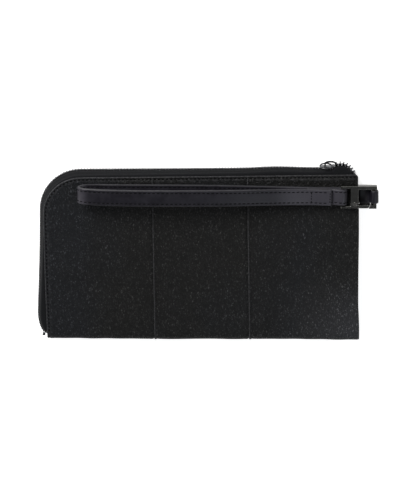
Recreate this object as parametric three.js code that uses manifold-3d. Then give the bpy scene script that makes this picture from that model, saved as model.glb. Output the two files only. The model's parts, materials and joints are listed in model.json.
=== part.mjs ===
// Travel document organizer: a slim leather case with an L-shaped zip, a snap hook and a wrist strap.
// It lies on its back: X runs along its length, Y up the front and Z out of the front. Millimetres.
import * as THREE from 'three';
import { mergeVertices } from 'three/addons/utils/BufferGeometryUtils.js';
import Module from 'manifold-3d';

const wasm = await Module();
wasm.setup();

// Case
const caseLength = 240;
const caseHeight = 134;
const thicknessTopLeft = 20.5;
const thicknessTopRight = 12.2;
const thicknessBottom = 15;
const frontCrown = 1.2;
const chainInset = 2.7;
const chainTopLeft = 10.25;
const chainTopRight = 5.2;
const chainCornerRadius = 31;
const chainSideInset = 1;
const foldRadius = 5;
const foldGap = 0.6;
const leftEdgeDrift = 2.6;
const leftEdgeBend = 1.5;
const leatherThickness = 1.4;
const liningThickness = 0.5;
const liningInset = 1.2;
const liningRightInset = 11.5;
const layerGap = 0.3;

// Raised seams between the three front panels
const seamLeftTop = -35.8;
const seamLeftBottom = -33.8;
const seamRightTop = 35.8;
const seamRightBottom = 37.7;
const seamGap = 0.3;
const seamLipWidth = 1.4;
const seamLipHeight = 0.5;

// Zip
const tapeThickness = 0.6;
const tapeFlange = 6;
const tapeEndFlange = 2.4;
const tapeBendRadius = 1.6;
const tapeToBead = 0.3;
const tapeLeanRoom = 1.8;
const tapeLeanShare = 0.45;
const beadWidth = 1;
const beadHeight = 0.7;
const beadStart = 0.9;
const toothPitch = 2.3;
const toothRootHalf = 0.5;
const toothTipHalf = 0.38;
const toothHalfWidth = 0.95;
const toothTipHalfWidth = 0.7;
const toothReach = 0.5;
const firstTooth = 5;
const lastToothMargin = 1.2;
const chainStartInset = 2.6;
const chainStartBelow = 1;
const chainBulge = 1.2;
const chainBulgeRise = 16;
const chainBulgePull = 30;
const chainStartPull = 6;
const mouthInset = 16.6;
const mouthRise = 1.9;
const mouthRiseLength = 4.6;
const chainEndInset = 3.6;
const chainEndDrop = 5.5;
const chainEndPull = 6;
const rowLift = 2.5;
const rowLiftBack = 0.4;
const rowSettleShare = 0.3;
const rowLiftLead = 6;
const rowLiftLength = 8.4;
const stopWidth = 2.2;
const stopLength = 1.8;
const stopHeight = 3.2;
const stopGap = 0.3;
const curveSpacing = 3.6;
const straightSpacing = 15;
const straightTolerance = 2e-5;
const tapeBendSteps = 3;

// Slider and ring
const sliderMouthGap = 0.4;
const sliderLength = 12;
const sliderMouthHalf = 2.9;
const sliderTailHalf = 2.5;
const wingThickness = 0.9;
const wingOffset = 1.3;
const neckLength = 2.4;
const neckFromEnd = 0.5;
const neckLow = 0.85;
const neckHigh = 1.45;
const flangeWidth = 0.5;
const flangeDepth = 0.7;
const flangeLength = 8;
const bailLength = 9;
const bailRise = 4;
const bailWire = 1.2;
const bailShoulder = 2.4;
const bailFromEnd = 0.1;
const ringRadius = 4.4;
const ringWire = 1.2;
const ringSides = 7;
const ringSteps = 24;
const ringShiftX = -1.8;
const ringAhead = 3;
const ringPivotRise = 1.4;
const ringTilt = THREE.MathUtils.degToRad(8);

// Snap hook
const hookRise = 5;
const hookDepth = 5;
const hookEdgeBevel = 0.4;
const hookInset = 13.5;
const hookDrop = 9.4;
const hookWidth = 17.7;
const eyeLength = 7.2;
const plateLength = 6.1;
const windowLength = 14.1;
const topBarWidth = 2.8;
const eyeTopArm = 2.2;
const eyeBottomArm = 1.9;
const eyeBarInset = 1.6;
const eyeBarRadius = 1.1;
const endBarInset = 1.9;
const endBarRadius = 1.4;
const noseInset = 0.6;
const noseLength = 5.9;
const noseSlant = 1.8;
const noseWidth = 2.8;
const gatePivotInset = 3.4;
const gateTailRadius = 2.4;
const gateWidth = 2.6;
const gateBottomInset = 0.2;
const gateEndGap = 0.3;
const gateShoulderGap = 0.5;
const gateTongue = 2.2;
const forkGap = 0.3;
const forkHeight = 7.7;
const rivetRadius = 0.9;
const rivetHeadRadius = 1.6;
const rivetHeadHeight = 0.4;
const rivetClearance = 0.3;
const springThickness = 0.4;
const springBow = 0.7;

// Leather tab that holds the hook
const tabWidth = 10;
const tabThickness = 1.2;
const tabRootInset = 9;
const tabSideReach = 6.5;
const tabReturnReach = 4.5;
const tabReturnEnd = 0.9;
const tabBendSteps = 7;
const tabWrapSteps = 10;
const tabWrapClearance = 0.3;
const tabWrapStart = THREE.MathUtils.degToRad(-30);
const tabWrapEnd = THREE.MathUtils.degToRad(180);
const tabPull = 3;

// Wrist strap
const strapWidth = 12.6;
const strapThickness = 2.2;
const strapTurn = THREE.MathUtils.degToRad(-1.44);
const strapEyeOffset = 0.3;
const strapEyeClearance = 0.35;
const strapRestGap = 0.3;
const strapLayerGap = 0.3;
const strapSeamStart = 8.8;
const strapSeamEnd = 25;
const strapTailEnd = 27;
const strapReach = 198.7;
const strapLoopRise = 13.1;
const strapRearEase = 7.7;
const strapRearSteps = 9;
const strapWrapSteps = 8;
const strapSpanSteps = 2;

// Side gusset
const gussetDepth = 10.5;
const gussetThickness = 1.1;
const gussetEdgeInset = 0.4;
const gussetTopInset = 9;
const gussetBottomInset = 3;
const gussetTabMargin = 0.8;

// Pockets
const pocketThickness = 0.7;
const pocketDepth = 1;
const pocketSeam = 3;
const pocketGap = 0.3;
const passportPocketWidth = 104;
const passportPocketHeight = 96;
const pocketSideInset = 9.5;
const pocketBottomInset = 6;
const pocketRightInset = 2.3;
const boardingPocketHeight = 80;
const cardSlotMargin = 16;
const cardSlotHeight = 34;
const cardSlotStep = 12;
const cardSlotCount = 4;
const cardSlotDrop = 36.5;
const pocketRows = 6;
const pocketColumns = 8;

// Places that follow from the sizes above
const left = -caseLength / 2;
const right = caseLength / 2;
const top = caseHeight / 2;
const bottom = -caseHeight / 2;
const leatherLeft = left + chainInset;
const leatherTop = top - chainInset;
const foldLine = bottom + foldRadius;
const middleBottom = thicknessBottom / 2;
const leatherCornerRadius = chainCornerRadius - chainInset;
const mouthX = right - mouthInset;
const sliderX = mouthX - sliderMouthGap - sliderLength / 2;
const rowLiftStartX = sliderX - rowLiftLead;
const chainEndX = right - chainEndInset;
const chainEndY = top - chainEndDrop;
const hookMiddle = thicknessTopRight + hookRise;
const hookLow = hookMiddle - hookDepth / 2;
const hookHigh = hookMiddle + hookDepth / 2;
const hookLeft = right - hookInset;
const hookTop = top - hookDrop;
const hookBottom = hookTop - hookWidth;
const plateLeft = hookLeft + eyeLength;
const plateRight = plateLeft + plateLength;
const hookRight = plateRight + windowLength;
const eyeBarX = hookLeft + eyeBarInset;
const endBarX = hookRight - endBarInset;
const noseRight = hookRight - noseInset;
const noseLeft = noseRight - noseLength;
const gatePivotX = plateLeft + gatePivotInset;
const gatePivotY = hookBottom + gatePivotInset;
const gateShoulderX = plateRight + gateShoulderGap;
const forkLeft = gatePivotX - gateTailRadius - forkGap;
const forkTop = hookBottom + forkHeight;
const tabMiddleY = (hookBottom + noseWidth + hookTop - topBarWidth) / 2;
const strapMiddleY = (hookBottom + eyeBottomArm + hookTop - eyeTopArm) / 2 + strapEyeOffset;
const overrun = 1;
const weldTolerance = 1e-4;

// Counts of the panels' facets
const flatRows = 7;
const cornerRows = 6;
const foldRows = 4;
const backColumns = 8;
const sideColumns = 6;
const middleColumns = 5;

// Height of the case's front surface over its back
function frontHeight(x, y) {
  const along = (x - left) / caseLength;
  const up = THREE.MathUtils.clamp((y - foldLine) / (top - foldLine), 0, 1);
  const topThickness = THREE.MathUtils.lerp(thicknessTopLeft, thicknessTopRight, along);
  const alongBow = Math.max(0, 4 * along * (1 - along));
  const upBow = 4 * up * (1 - up);
  return THREE.MathUtils.lerp(thicknessBottom, topThickness, up) + frontCrown * alongBow * upBow;
}

// Height of the chain's line, straight along the top and along the left side
function chainHeight(x, y) {
  const along = (x - left) / caseLength;
  const up = THREE.MathUtils.clamp((y - foldLine) / (top - foldLine), 0, 1);
  return THREE.MathUtils.lerp(middleBottom, THREE.MathUtils.lerp(chainTopLeft, chainTopRight, along), up);
}

// Left edge of a layer that stays a given inset inside the leather's edge, which drifts in towards the fold
function leftEdgeAt(y, inset) {
  const radius = leatherCornerRadius - inset;
  const centreX = leatherLeft + leatherCornerRadius;
  const centreY = leatherTop - leatherCornerRadius;
  if (y <= centreY) {
    const down = (centreY - y) / (centreY - bottom);
    return leatherLeft + inset + leftEdgeDrift * down ** leftEdgeBend;
  }
  const rise = Math.min(y - centreY, radius);
  return centreX - Math.sqrt(radius * radius - rise * rise);
}

// Rows from the top edge down to a low edge, closer together round the big corner
function rowsDown(highY, lowY, inset) {
  const rows = [];
  const radius = leatherCornerRadius - inset;
  const centreY = leatherTop - leatherCornerRadius;
  for (let step = 0; step < cornerRows; step++) {
    const angle = (Math.PI / 2) * (1 - step / cornerRows);
    rows.push(centreY + radius * Math.sin(angle));
  }
  for (let step = 0; step <= flatRows; step++) {
    rows.push(THREE.MathUtils.lerp(centreY, lowY, step / flatRows));
  }
  return rows.filter((y) => y <= highY + weldTolerance);
}

function evenRows(highY, lowY, count) {
  return Array.from({ length: count + 1 }, (_, step) => THREE.MathUtils.lerp(highY, lowY, step / count));
}

function signedVolume(points, indices) {
  let volume = 0;
  const a = new THREE.Vector3();
  for (let i = 0; i < indices.length; i += 3) {
    a.crossVectors(points[indices[i + 1]], points[indices[i + 2]]);
    volume += points[indices[i]].dot(a);
  }
  return volume;
}

// A closed body between two facing grids of points
function shellBetween(outer, inner) {
  const rows = outer.length;
  const columns = outer[0].length;
  const points = [...outer.flat(), ...inner.flat()];
  const innerStart = rows * columns;
  const indices = [];
  const quad = (a, b, c, d) => indices.push(a, b, c, a, c, d);
  for (let row = 0; row < rows - 1; row++) {
    for (let column = 0; column < columns - 1; column++) {
      const a = row * columns + column;
      const b = a + columns;
      quad(a, b, b + 1, a + 1);
      quad(innerStart + a, innerStart + a + 1, innerStart + b + 1, innerStart + b);
    }
  }
  for (let row = 0; row < rows - 1; row++) {
    const a = row * columns;
    const z = a + columns - 1;
    quad(a, innerStart + a, innerStart + a + columns, a + columns);
    quad(z, z + columns, innerStart + z + columns, innerStart + z);
  }
  for (let column = 0; column < columns - 1; column++) {
    const z = (rows - 1) * columns + column;
    quad(column, column + 1, innerStart + column + 1, innerStart + column);
    quad(z, innerStart + z, innerStart + z + 1, z + 1);
  }
  if (signedVolume(points, indices) < 0) {
    indices.reverse();
  }
  const geometry = new THREE.BufferGeometry().setFromPoints(points);
  geometry.setIndex(indices);
  return geometry;
}

function solidOf(geometry) {
  const bare = geometry.clone();
  bare.deleteAttribute('normal');
  bare.deleteAttribute('uv');
  const welded = mergeVertices(bare, weldTolerance);
  return new wasm.Manifold(new wasm.Mesh({
    numProp: 3,
    vertProperties: new Float32Array(welded.attributes.position.array),
    triVerts: new Uint32Array(welded.index.array),
  }));
}

function geometryOf(solid) {
  const mesh = solid.getMesh();
  const geometry = new THREE.BufferGeometry();
  geometry.setAttribute('position', new THREE.BufferAttribute(mesh.vertProperties, 3));
  geometry.setIndex(new THREE.BufferAttribute(mesh.triVerts, 1));
  return geometry;
}

function joined(geometries) {
  return geometries.map(solidOf).reduce((whole, piece) => whole.add(piece));
}

// A plain block from its lowest and highest corners
function block(low, high) {
  const size = new THREE.Vector3().subVectors(high, low);
  const middle = new THREE.Vector3().addVectors(low, high).multiplyScalar(0.5);
  return new THREE.BoxGeometry(size.x, size.y, size.z).translate(middle.x, middle.y, middle.z);
}

// A flat outline in XY, raised from one height to another with bevelled edges
function raised(shape, low, high, bevel) {
  const settings = { depth: high - low - 2 * bevel, curveSegments: 8, bevelEnabled: bevel > 0 };
  if (bevel > 0) {
    settings.bevelThickness = bevel;
    settings.bevelSize = bevel;
    settings.bevelOffset = -bevel;
    settings.bevelSegments = 1;
  }
  return new THREE.ExtrudeGeometry(shape, settings).translate(0, 0, low + bevel);
}

// A sheet of even thickness between two height functions
function layer(rows, leftOf, rightOf, columns, lowOf, highOf) {
  const gridOf = (heightOf) => rows.map((y) => evenRows(leftOf(y), rightOf(y), columns)
    .map((x) => new THREE.Vector3(x, y, heightOf(x, y))));
  return shellBetween(gridOf(highOf), gridOf(lowOf));
}

// A ribbon that follows a curve in the XZ plane and is even across Y
function ribbon(points, width, thickness) {
  const upper = [];
  const lower = [];
  points.forEach((point, index) => {
    const before = points[Math.max(index - 1, 0)];
    const after = points[Math.min(index + 1, points.length - 1)];
    const along = new THREE.Vector2(after.x - before.x, after.y - before.y).normalize();
    const side = new THREE.Vector2(-along.y, along.x).multiplyScalar(thickness / 2);
    const across = (x, z) => [
      new THREE.Vector3(x, -width / 2, z),
      new THREE.Vector3(x, width / 2, z),
    ];
    upper.push(across(point.x + side.x, point.y + side.y));
    lower.push(across(point.x - side.x, point.y - side.y));
  });
  return shellBetween(upper, lower);
}

function finish(color, roughness, metalness) {
  return new THREE.MeshStandardMaterial({ color, roughness, metalness });
}

const grainedLeather = () => finish('#1d1d20', 0.6, 0);
const smoothLeather = () => finish('#222030', 0.5, 0);
const liningCloth = () => finish('#25262b', 0.9, 0);
const tapeCloth = () => finish('#1a1c22', 0.9, 0);
const darkMetal = () => finish('#3c3d42', 0.3, 0.9);

const organizer = new THREE.Group();

function addPiece(name, geometry, material, parent = organizer) {
  const mesh = new THREE.Mesh(geometry, material);
  mesh.name = name;
  parent.add(mesh);
  return mesh;
}

// Leather panels

// Points of one leather sheet over the flat face and round its half of the bottom fold
function leatherRows(isFront) {
  const towards = isFront ? 1 : -1;
  const rows = rowsDown(leatherTop, foldLine, 0).map((y) => ({
    y,
    heightOf: (x) => (isFront ? frontHeight(x, y) : 0),
    normal: new THREE.Vector3(0, 0, towards),
  }));
  for (let step = 1; step <= foldRows; step++) {
    const angle = (Math.PI / 2) * (step / foldRows);
    const drop = foldRadius * (1 - Math.cos(angle));
    const height = isFront ? thicknessBottom - drop : drop;
    rows.push({
      y: foldLine - foldRadius * Math.sin(angle),
      heightOf: () => height,
      normal: new THREE.Vector3(0, -Math.sin(angle), towards * Math.cos(angle)),
    });
  }
  rows.push({
    y: bottom,
    heightOf: () => middleBottom + towards * foldGap / 2,
    normal: new THREE.Vector3(0, -1, 0),
  });
  return rows;
}

// Columns across a panel: a raised lip stands at each side that is a seam
function panelColumns(xLow, xHigh, lipLow, lipHigh, count) {
  const columns = [];
  const start = lipLow ? xLow + seamLipWidth : xLow;
  const end = lipHigh ? xHigh - seamLipWidth : xHigh;
  if (lipLow) {
    columns.push({ x: xLow, lift: seamLipHeight / 2 });
    columns.push({ x: xLow + seamLipWidth / 2, lift: seamLipHeight });
  }
  evenRows(start, end, count).forEach((x) => columns.push({ x, lift: 0 }));
  if (lipHigh) {
    columns.push({ x: xHigh - seamLipWidth / 2, lift: seamLipHeight });
    columns.push({ x: xHigh, lift: seamLipHeight / 2 });
  }
  return columns;
}

function leatherPanel(isFront, leftOf, rightOf, lipLow, lipHigh, count) {
  const outer = [];
  const inner = [];
  leatherRows(isFront).forEach((row) => {
    const columns = panelColumns(leftOf(row.y), rightOf(row.y), lipLow, lipHigh, count);
    const surface = columns.map(({ x }) => new THREE.Vector3(x, row.y, row.heightOf(x)));
    outer.push(surface.map((point, i) => point.clone().addScaledVector(row.normal, columns[i].lift)));
    inner.push(surface.map((point) => point.clone().addScaledVector(row.normal, -leatherThickness)));
  });
  return shellBetween(outer, inner);
}

function seamAt(topX, bottomX, y) {
  return THREE.MathUtils.mapLinear(y, leatherTop, bottom, topX, bottomX);
}

const outerLeft = (y) => leftEdgeAt(y, 0);
const leftSeam = (y) => seamAt(seamLeftTop, seamLeftBottom, y);
const rightSeam = (y) => seamAt(seamRightTop, seamRightBottom, y);
const outerRight = () => right;

function addLeather() {
  addPiece('back_panel', leatherPanel(false, outerLeft, outerRight,
    false, false, backColumns), grainedLeather());
  addPiece('front_panel_left', leatherPanel(true, outerLeft,
    (y) => leftSeam(y) - seamGap / 2, false, true, sideColumns), grainedLeather());
  addPiece('front_panel_middle', leatherPanel(true, (y) => leftSeam(y) + seamGap / 2,
    (y) => rightSeam(y) - seamGap / 2, true, true, middleColumns), grainedLeather());
  addPiece('front_panel_right', leatherPanel(true, (y) => rightSeam(y) + seamGap / 2,
    outerRight, true, false, sideColumns), grainedLeather());
}

// Linings and pockets lie in layers inward from each face
const tapeLayerTop = leatherThickness + layerGap;
const liningLayerTop = tapeLayerTop + tapeThickness + layerGap;
const liningLayerEnd = liningLayerTop + liningThickness;
const pocketLayerTop = liningLayerEnd + pocketGap;

function addLinings() {
  const rows = rowsDown(leatherTop - liningInset, foldLine, liningInset);
  const leftOf = (y) => leftEdgeAt(y, liningInset);
  const rightOf = () => right - liningRightInset;
  addPiece('back_lining', layer(rows, leftOf, rightOf, sideColumns,
    () => liningLayerTop, () => liningLayerEnd), liningCloth());
  addPiece('front_lining', layer(rows, leftOf, rightOf, sideColumns,
    (x, y) => frontHeight(x, y) - liningLayerEnd,
    (x, y) => frontHeight(x, y) - liningLayerTop), liningCloth());
}

// A slip pocket: a sheet held off the lining by its sewn left, right and bottom borders
function slipPocket(xLow, xHigh, yLow, yHigh, lowOf, highOf, borderOf) {
  const sheetRows = evenRows(yHigh, yLow, pocketRows);
  const sheet = layer(sheetRows, () => xLow, () => xHigh, pocketColumns, lowOf, highOf);
  const borderLow = (x, y) => Math.min(lowOf(x, y), borderOf(x, y));
  const borderHigh = (x, y) => Math.max(highOf(x, y), borderOf(x, y));
  const leftBorder = layer(sheetRows, () => xLow, () => xLow + pocketSeam, 1, borderLow, borderHigh);
  const rightBorder = layer(sheetRows, () => xHigh - pocketSeam, () => xHigh, 1, borderLow, borderHigh);
  const bottomBorder = layer(evenRows(yLow + pocketSeam, yLow, 1), () => xLow, () => xHigh,
    pocketColumns, borderLow, borderHigh);
  return geometryOf(joined([sheet, leftBorder, rightBorder, bottomBorder]));
}

function addPockets() {
  const pocketLeft = leatherLeft + pocketSideInset;
  const pocketBottom = foldLine + pocketBottomInset;
  const sheetLayer = pocketLayerTop + pocketDepth;
  addPiece('passport_pocket', slipPocket(pocketLeft, pocketLeft + passportPocketWidth,
    pocketBottom, pocketBottom + passportPocketHeight,
    () => sheetLayer, () => sheetLayer + pocketThickness, () => pocketLayerTop), liningCloth());
  const pocketRight = right - liningRightInset - pocketRightInset;
  addPiece('boarding_pass_pocket', slipPocket(pocketLeft, pocketRight,
    pocketBottom, pocketBottom + boardingPocketHeight,
    (x, y) => frontHeight(x, y) - sheetLayer - pocketThickness,
    (x, y) => frontHeight(x, y) - sheetLayer,
    (x, y) => frontHeight(x, y) - pocketLayerTop), liningCloth());
  const slotLeft = pocketLeft + passportPocketWidth + cardSlotMargin;
  for (let slot = 0; slot < cardSlotCount; slot++) {
    const high = top - cardSlotDrop - slot * cardSlotStep;
    const low = pocketLayerTop + slot * (pocketThickness + pocketGap);
    addPiece(`card_slot_${slot + 1}`, block(
      new THREE.Vector3(slotLeft, high - cardSlotHeight, low),
      new THREE.Vector3(pocketRight, high, low + pocketThickness)), liningCloth());
  }
}

// Zip

// The chain's line seen from the front, from the bottom left to its end at the top right
function chainPath() {
  const path = new THREE.Path();
  const startX = left + chainStartInset;
  const startY = foldLine - chainStartBelow;
  const bulgeX = left - chainBulge;
  const bulgeY = foldLine + chainBulgeRise;
  const sideX = left + chainSideInset;
  const cornerX = left + chainCornerRadius;
  const cornerY = top - chainCornerRadius;
  path.arcLengthDivisions = 4000;
  path.moveTo(startX, startY);
  path.bezierCurveTo((startX + bulgeX) / 2, startY + chainStartPull, bulgeX, bulgeY - chainStartPull,
    bulgeX, bulgeY);
  path.bezierCurveTo(bulgeX, bulgeY + chainBulgePull, sideX, cornerY - chainBulgePull, sideX, cornerY);
  path.absellipse(cornerX, cornerY, cornerX - sideX, chainCornerRadius, Math.PI, Math.PI / 2, true);
  path.lineTo(mouthX, top);
  path.bezierCurveTo(mouthX + mouthRiseLength, top + mouthRise, chainEndX, top + mouthRise,
    chainEndX, chainEndY);
  return path;
}

const chain = chainPath();
const chainLength = chain.getLength();

// How far a row stands off the meshed place where the slider parts it
function rowParting(x, y, isFront) {
  if (y < top - chainCornerRadius || x < 0) {
    return 0;
  }
  const start = isFront ? rowLiftStartX : mouthX;
  const reach = THREE.MathUtils.smoothstep(x, start, start + rowLiftLength);
  const settle = 1 - rowSettleShare * THREE.MathUtils.smoothstep(x, mouthX, chainEndX);
  return reach * settle * (isFront ? rowLift : rowLiftBack);
}

// A station on the chain: its place, outward direction, mid height and parting
function chainStation(distance, isFront) {
  const share = THREE.MathUtils.clamp(distance / chainLength, 0, 1);
  const place = chain.getPointAt(share);
  const along = chain.getTangentAt(share);
  const outward = new THREE.Vector2(-along.y, along.x);
  const parting = rowParting(place.x, place.y, isFront);
  return { place, along, outward, middle: chainHeight(place.x, place.y), parting };
}

// Distances along the chain: far apart where it runs straight, close where it turns or the rows part
function stationDistances() {
  const isStraight = (from, to) => {
    const start = chainStation(from, true);
    const end = chainStation(to, true);
    return 1 - start.along.dot(end.along) < straightTolerance && end.parting === 0;
  };
  const distances = [0];
  let distance = 0;
  while (distance + straightSpacing < chainLength) {
    distance += isStraight(distance, distance + straightSpacing) ? straightSpacing : curveSpacing;
    distances.push(distance);
  }
  const rest = chainLength - distance;
  const count = Math.ceil(rest / curveSpacing);
  return [...distances, ...evenRows(distance, chainLength, count).slice(1)];
}

// Place of a point that lies out from the chain line by a distance
function outFrom(station, out) {
  return new THREE.Vector2(
    station.place.x + station.outward.x * out,
    station.place.y + station.outward.y * out,
  );
}

// Flange width under the leather: narrower where the path ends in tight curves
function flangeAt(distance) {
  const fromStart = THREE.MathUtils.smoothstep(distance, 0, chainBulgeRise);
  const fromEnd = THREE.MathUtils.smoothstep(chainLength - distance, 0, 2 * chainEndPull);
  return THREE.MathUtils.lerp(tapeEndFlange, tapeFlange, Math.min(fromStart, fromEnd));
}

// Section of a tape at one station: from the sewn flange over the bend, then leaning out to the bead
function tapeSection(distance, isFront) {
  const station = chainStation(distance, isFront);
  const sign = isFront ? 1 : -1;
  const heightFromFace = (place, depth) => (isFront ? frontHeight(place.x, place.y) - depth : depth);
  const bendPlace = outFrom(station, -tapeBendRadius);
  const faceHeight = heightFromFace(bendPlace, tapeLayerTop);
  const beadEnd = station.middle
    + sign * (beadStart + beadHeight + tapeToBead + station.parting);
  const room = Math.abs(faceHeight - beadEnd) - layerGap;
  const radius = Math.min(tapeBendRadius, Math.max(room, 2 * tapeThickness));
  const half = tapeThickness / 2;
  const outer = [];
  const inner = [];
  const push = (list, out, height) => {
    const place = outFrom(station, out);
    list.push(new THREE.Vector3(place.x, place.y, height));
  };
  const lean = tapeLeanShare * Math.max(0, room - tapeLeanRoom);
  const flangeOut = -chainInset - flangeAt(distance);
  const flangePlace = outFrom(station, flangeOut);
  push(outer, flangeOut, heightFromFace(flangePlace, tapeLayerTop));
  push(inner, flangeOut, heightFromFace(flangePlace, tapeLayerTop + tapeThickness));
  for (let step = 0; step <= tapeBendSteps; step++) {
    const angle = (Math.PI / 2) * (step / tapeBendSteps);
    const centreOut = half - radius - lean;
    const centreHeight = faceHeight - sign * radius;
    push(outer, centreOut + radius * Math.sin(angle), centreHeight + sign * radius * Math.cos(angle));
    const innerRadius = radius - tapeThickness;
    push(inner, centreOut + innerRadius * Math.sin(angle),
      centreHeight + sign * innerRadius * Math.cos(angle));
  }
  push(outer, half, beadEnd);
  push(inner, -half, beadEnd);
  return { outer, inner };
}

function tape(isFront) {
  const sections = stationDistances().map((distance) => tapeSection(distance, isFront));
  return shellBetween(sections.map(({ outer }) => outer), sections.map(({ inner }) => inner));
}

// One row of teeth with its corded edge, as a closed strip. A pair is the row's inner and outer point
// at a distance along the chain, by its half width and its height over the line where the rows meet.
function toothRow(isFront) {
  const sign = isFront ? 1 : -1;
  const points = [];
  const indices = [];
  const pair = (distance, halfWidth, height) => {
    const station = chainStation(distance, isFront);
    [-halfWidth, halfWidth].forEach((out) => {
      const place = outFrom(station, out);
      points.push(new THREE.Vector3(place.x, place.y, station.middle + sign * (station.parting + height)));
    });
    return points.length - 2;
  };
  const polygon = (...corners) => {
    for (let i = 2; i < corners.length; i++) {
      indices.push(corners[0], corners[i - 1], corners[i]);
    }
  };
  const cheeks = (...pairs) => {
    polygon(...pairs.map((first) => first + 1));
    polygon(...pairs.reverse());
  };
  const floor = (a, b) => polygon(a, a + 1, b + 1, b);
  const cordTop = (distance) => pair(distance, beadWidth / 2, beadStart + beadHeight);
  const root = (distance) => pair(distance, toothHalfWidth, beadStart);

  let lastTop = cordTop(0);
  let lastRoot = root(0);
  polygon(lastRoot, lastTop, lastTop + 1, lastRoot + 1);
  const next = (topPair, rootPair) => {
    cheeks(lastTop, topPair, rootPair, lastRoot);
    polygon(lastTop, topPair, topPair + 1, lastTop + 1);
    floor(lastRoot, rootPair);
  };
  const first = firstTooth + (isFront ? 0 : toothPitch / 2);
  for (let centre = first; centre < chainLength - lastToothMargin; centre += toothPitch) {
    const topPair = cordTop(centre);
    const rootIn = root(centre - toothRootHalf);
    const tipIn = pair(centre - toothTipHalf, toothTipHalfWidth, -toothReach);
    const tipOut = pair(centre + toothTipHalf, toothTipHalfWidth, -toothReach);
    const rootOut = root(centre + toothRootHalf);
    next(topPair, rootIn);
    cheeks(topPair, rootOut, rootIn);
    cheeks(rootIn, rootOut, tipOut, tipIn);
    floor(rootIn, tipIn);
    floor(tipIn, tipOut);
    floor(tipOut, rootOut);
    lastTop = topPair;
    lastRoot = rootOut;
  }
  const endTop = cordTop(chainLength);
  const endRoot = root(chainLength);
  next(endTop, endRoot);
  polygon(endRoot + 1, endTop + 1, endTop, endRoot);
  if (signedVolume(points, indices) < 0) {
    indices.reverse();
  }
  const geometry = new THREE.BufferGeometry().setFromPoints(points);
  geometry.setIndex(indices);
  return geometry;
}

function addZipRows() {
  addPiece('zip_tape_back', tape(false), tapeCloth());
  addPiece('zip_tape_front', tape(true), tapeCloth());
  addPiece('zip_teeth_back', toothRow(false), darkMetal());
  addPiece('zip_teeth_front', toothRow(true), darkMetal());
  const start = chainStation(0, false);
  const stopX = start.place.x;
  const stopY = start.place.y - stopGap;
  const stopHigh = start.middle + beadStart - stopGap;
  addPiece('zip_bottom_stop', block(
    new THREE.Vector3(stopX - stopWidth / 2, stopY - stopLength, stopHigh - stopHeight),
    new THREE.Vector3(stopX + stopWidth / 2, stopY, stopHigh)), darkMetal());
}

// Slider, in its own frame: x along its slide, y out of the case, z towards the front row
function wingOutline() {
  const half = sliderLength / 2;
  const outline = new THREE.Shape();
  outline.moveTo(-half, 0);
  outline.quadraticCurveTo(-half, sliderTailHalf, -half / 2, sliderTailHalf);
  outline.quadraticCurveTo(0, sliderTailHalf, half / 3, sliderMouthHalf);
  outline.quadraticCurveTo(half, sliderMouthHalf, half, sliderMouthHalf / 2);
  outline.lineTo(half, -sliderMouthHalf / 2);
  outline.quadraticCurveTo(half, -sliderMouthHalf, half / 3, -sliderMouthHalf);
  outline.quadraticCurveTo(0, -sliderTailHalf, -half / 2, -sliderTailHalf);
  outline.quadraticCurveTo(-half, -sliderTailHalf, -half, 0);
  return outline;
}

function wing(low) {
  const geometry = new THREE.ExtrudeGeometry(wingOutline(), {
    depth: wingThickness, bevelEnabled: false, curveSegments: 5,
  });
  return geometry.rotateX(-Math.PI / 2).translate(0, low, 0);
}

function bailArch() {
  const end = sliderLength / 2 + bailFromEnd;
  const start = end - bailLength;
  const foot = wingOffset + wingThickness / 2;
  const shoulder = foot + bailShoulder;
  const rise = wingOffset + wingThickness + bailRise - shoulder;
  const half = bailLength / 2;
  const outline = new THREE.Shape();
  outline.moveTo(start, foot);
  outline.lineTo(start, shoulder);
  outline.absellipse(start + half, shoulder, half, rise, Math.PI, 0, true);
  outline.lineTo(end, foot);
  outline.lineTo(end - bailWire, foot);
  outline.lineTo(end - bailWire, shoulder);
  outline.absellipse(start + half, shoulder, half - bailWire, rise - bailWire, 0, Math.PI, false);
  outline.lineTo(start + bailWire, foot);
  outline.closePath();
  return raised(outline, -bailWire / 2, bailWire / 2, 0);
}

function sliderBody() {
  const half = sliderLength / 2;
  const neck = block(
    new THREE.Vector3(half - neckFromEnd - neckLength, -wingOffset - wingThickness / 2, neckLow),
    new THREE.Vector3(half - neckFromEnd, wingOffset + wingThickness / 2, neckHigh));
  const flanges = [1, -1].map((side) => {
    const root = side * (wingOffset + wingThickness / 2);
    const lip = side * (wingOffset - flangeDepth);
    return block(
      new THREE.Vector3(-flangeLength / 2, Math.min(root, lip), -sliderTailHalf),
      new THREE.Vector3(flangeLength / 2, Math.max(root, lip), flangeWidth - sliderTailHalf));
  });
  const bodySolid = joined([wing(wingOffset), wing(-wingOffset - wingThickness), neck, ...flanges]);
  return geometryOf(bodySolid.add(solidOf(bailArch())));
}

function pullRing() {
  const centreY = wingOffset + wingThickness + ringPivotRise - ringAhead * Math.sin(ringTilt);
  return new THREE.TorusGeometry(ringRadius, ringWire / 2, ringSides, ringSteps)
    .rotateX(Math.PI / 2 + ringTilt)
    .translate(ringShiftX, centreY, ringAhead * Math.cos(ringTilt));
}

function addSlider() {
  const carriage = new THREE.Group();
  const slope = (chainHeight(right, top) - chainHeight(left, top)) / caseLength;
  carriage.position.set(sliderX, top, chainHeight(sliderX, top));
  carriage.rotation.y = -Math.atan(slope);
  organizer.add(carriage);
  addPiece('zip_slider', sliderBody(), darkMetal(), carriage);
  addPiece('pull_ring', pullRing(), darkMetal(), carriage);
}

// Snap hook

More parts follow.
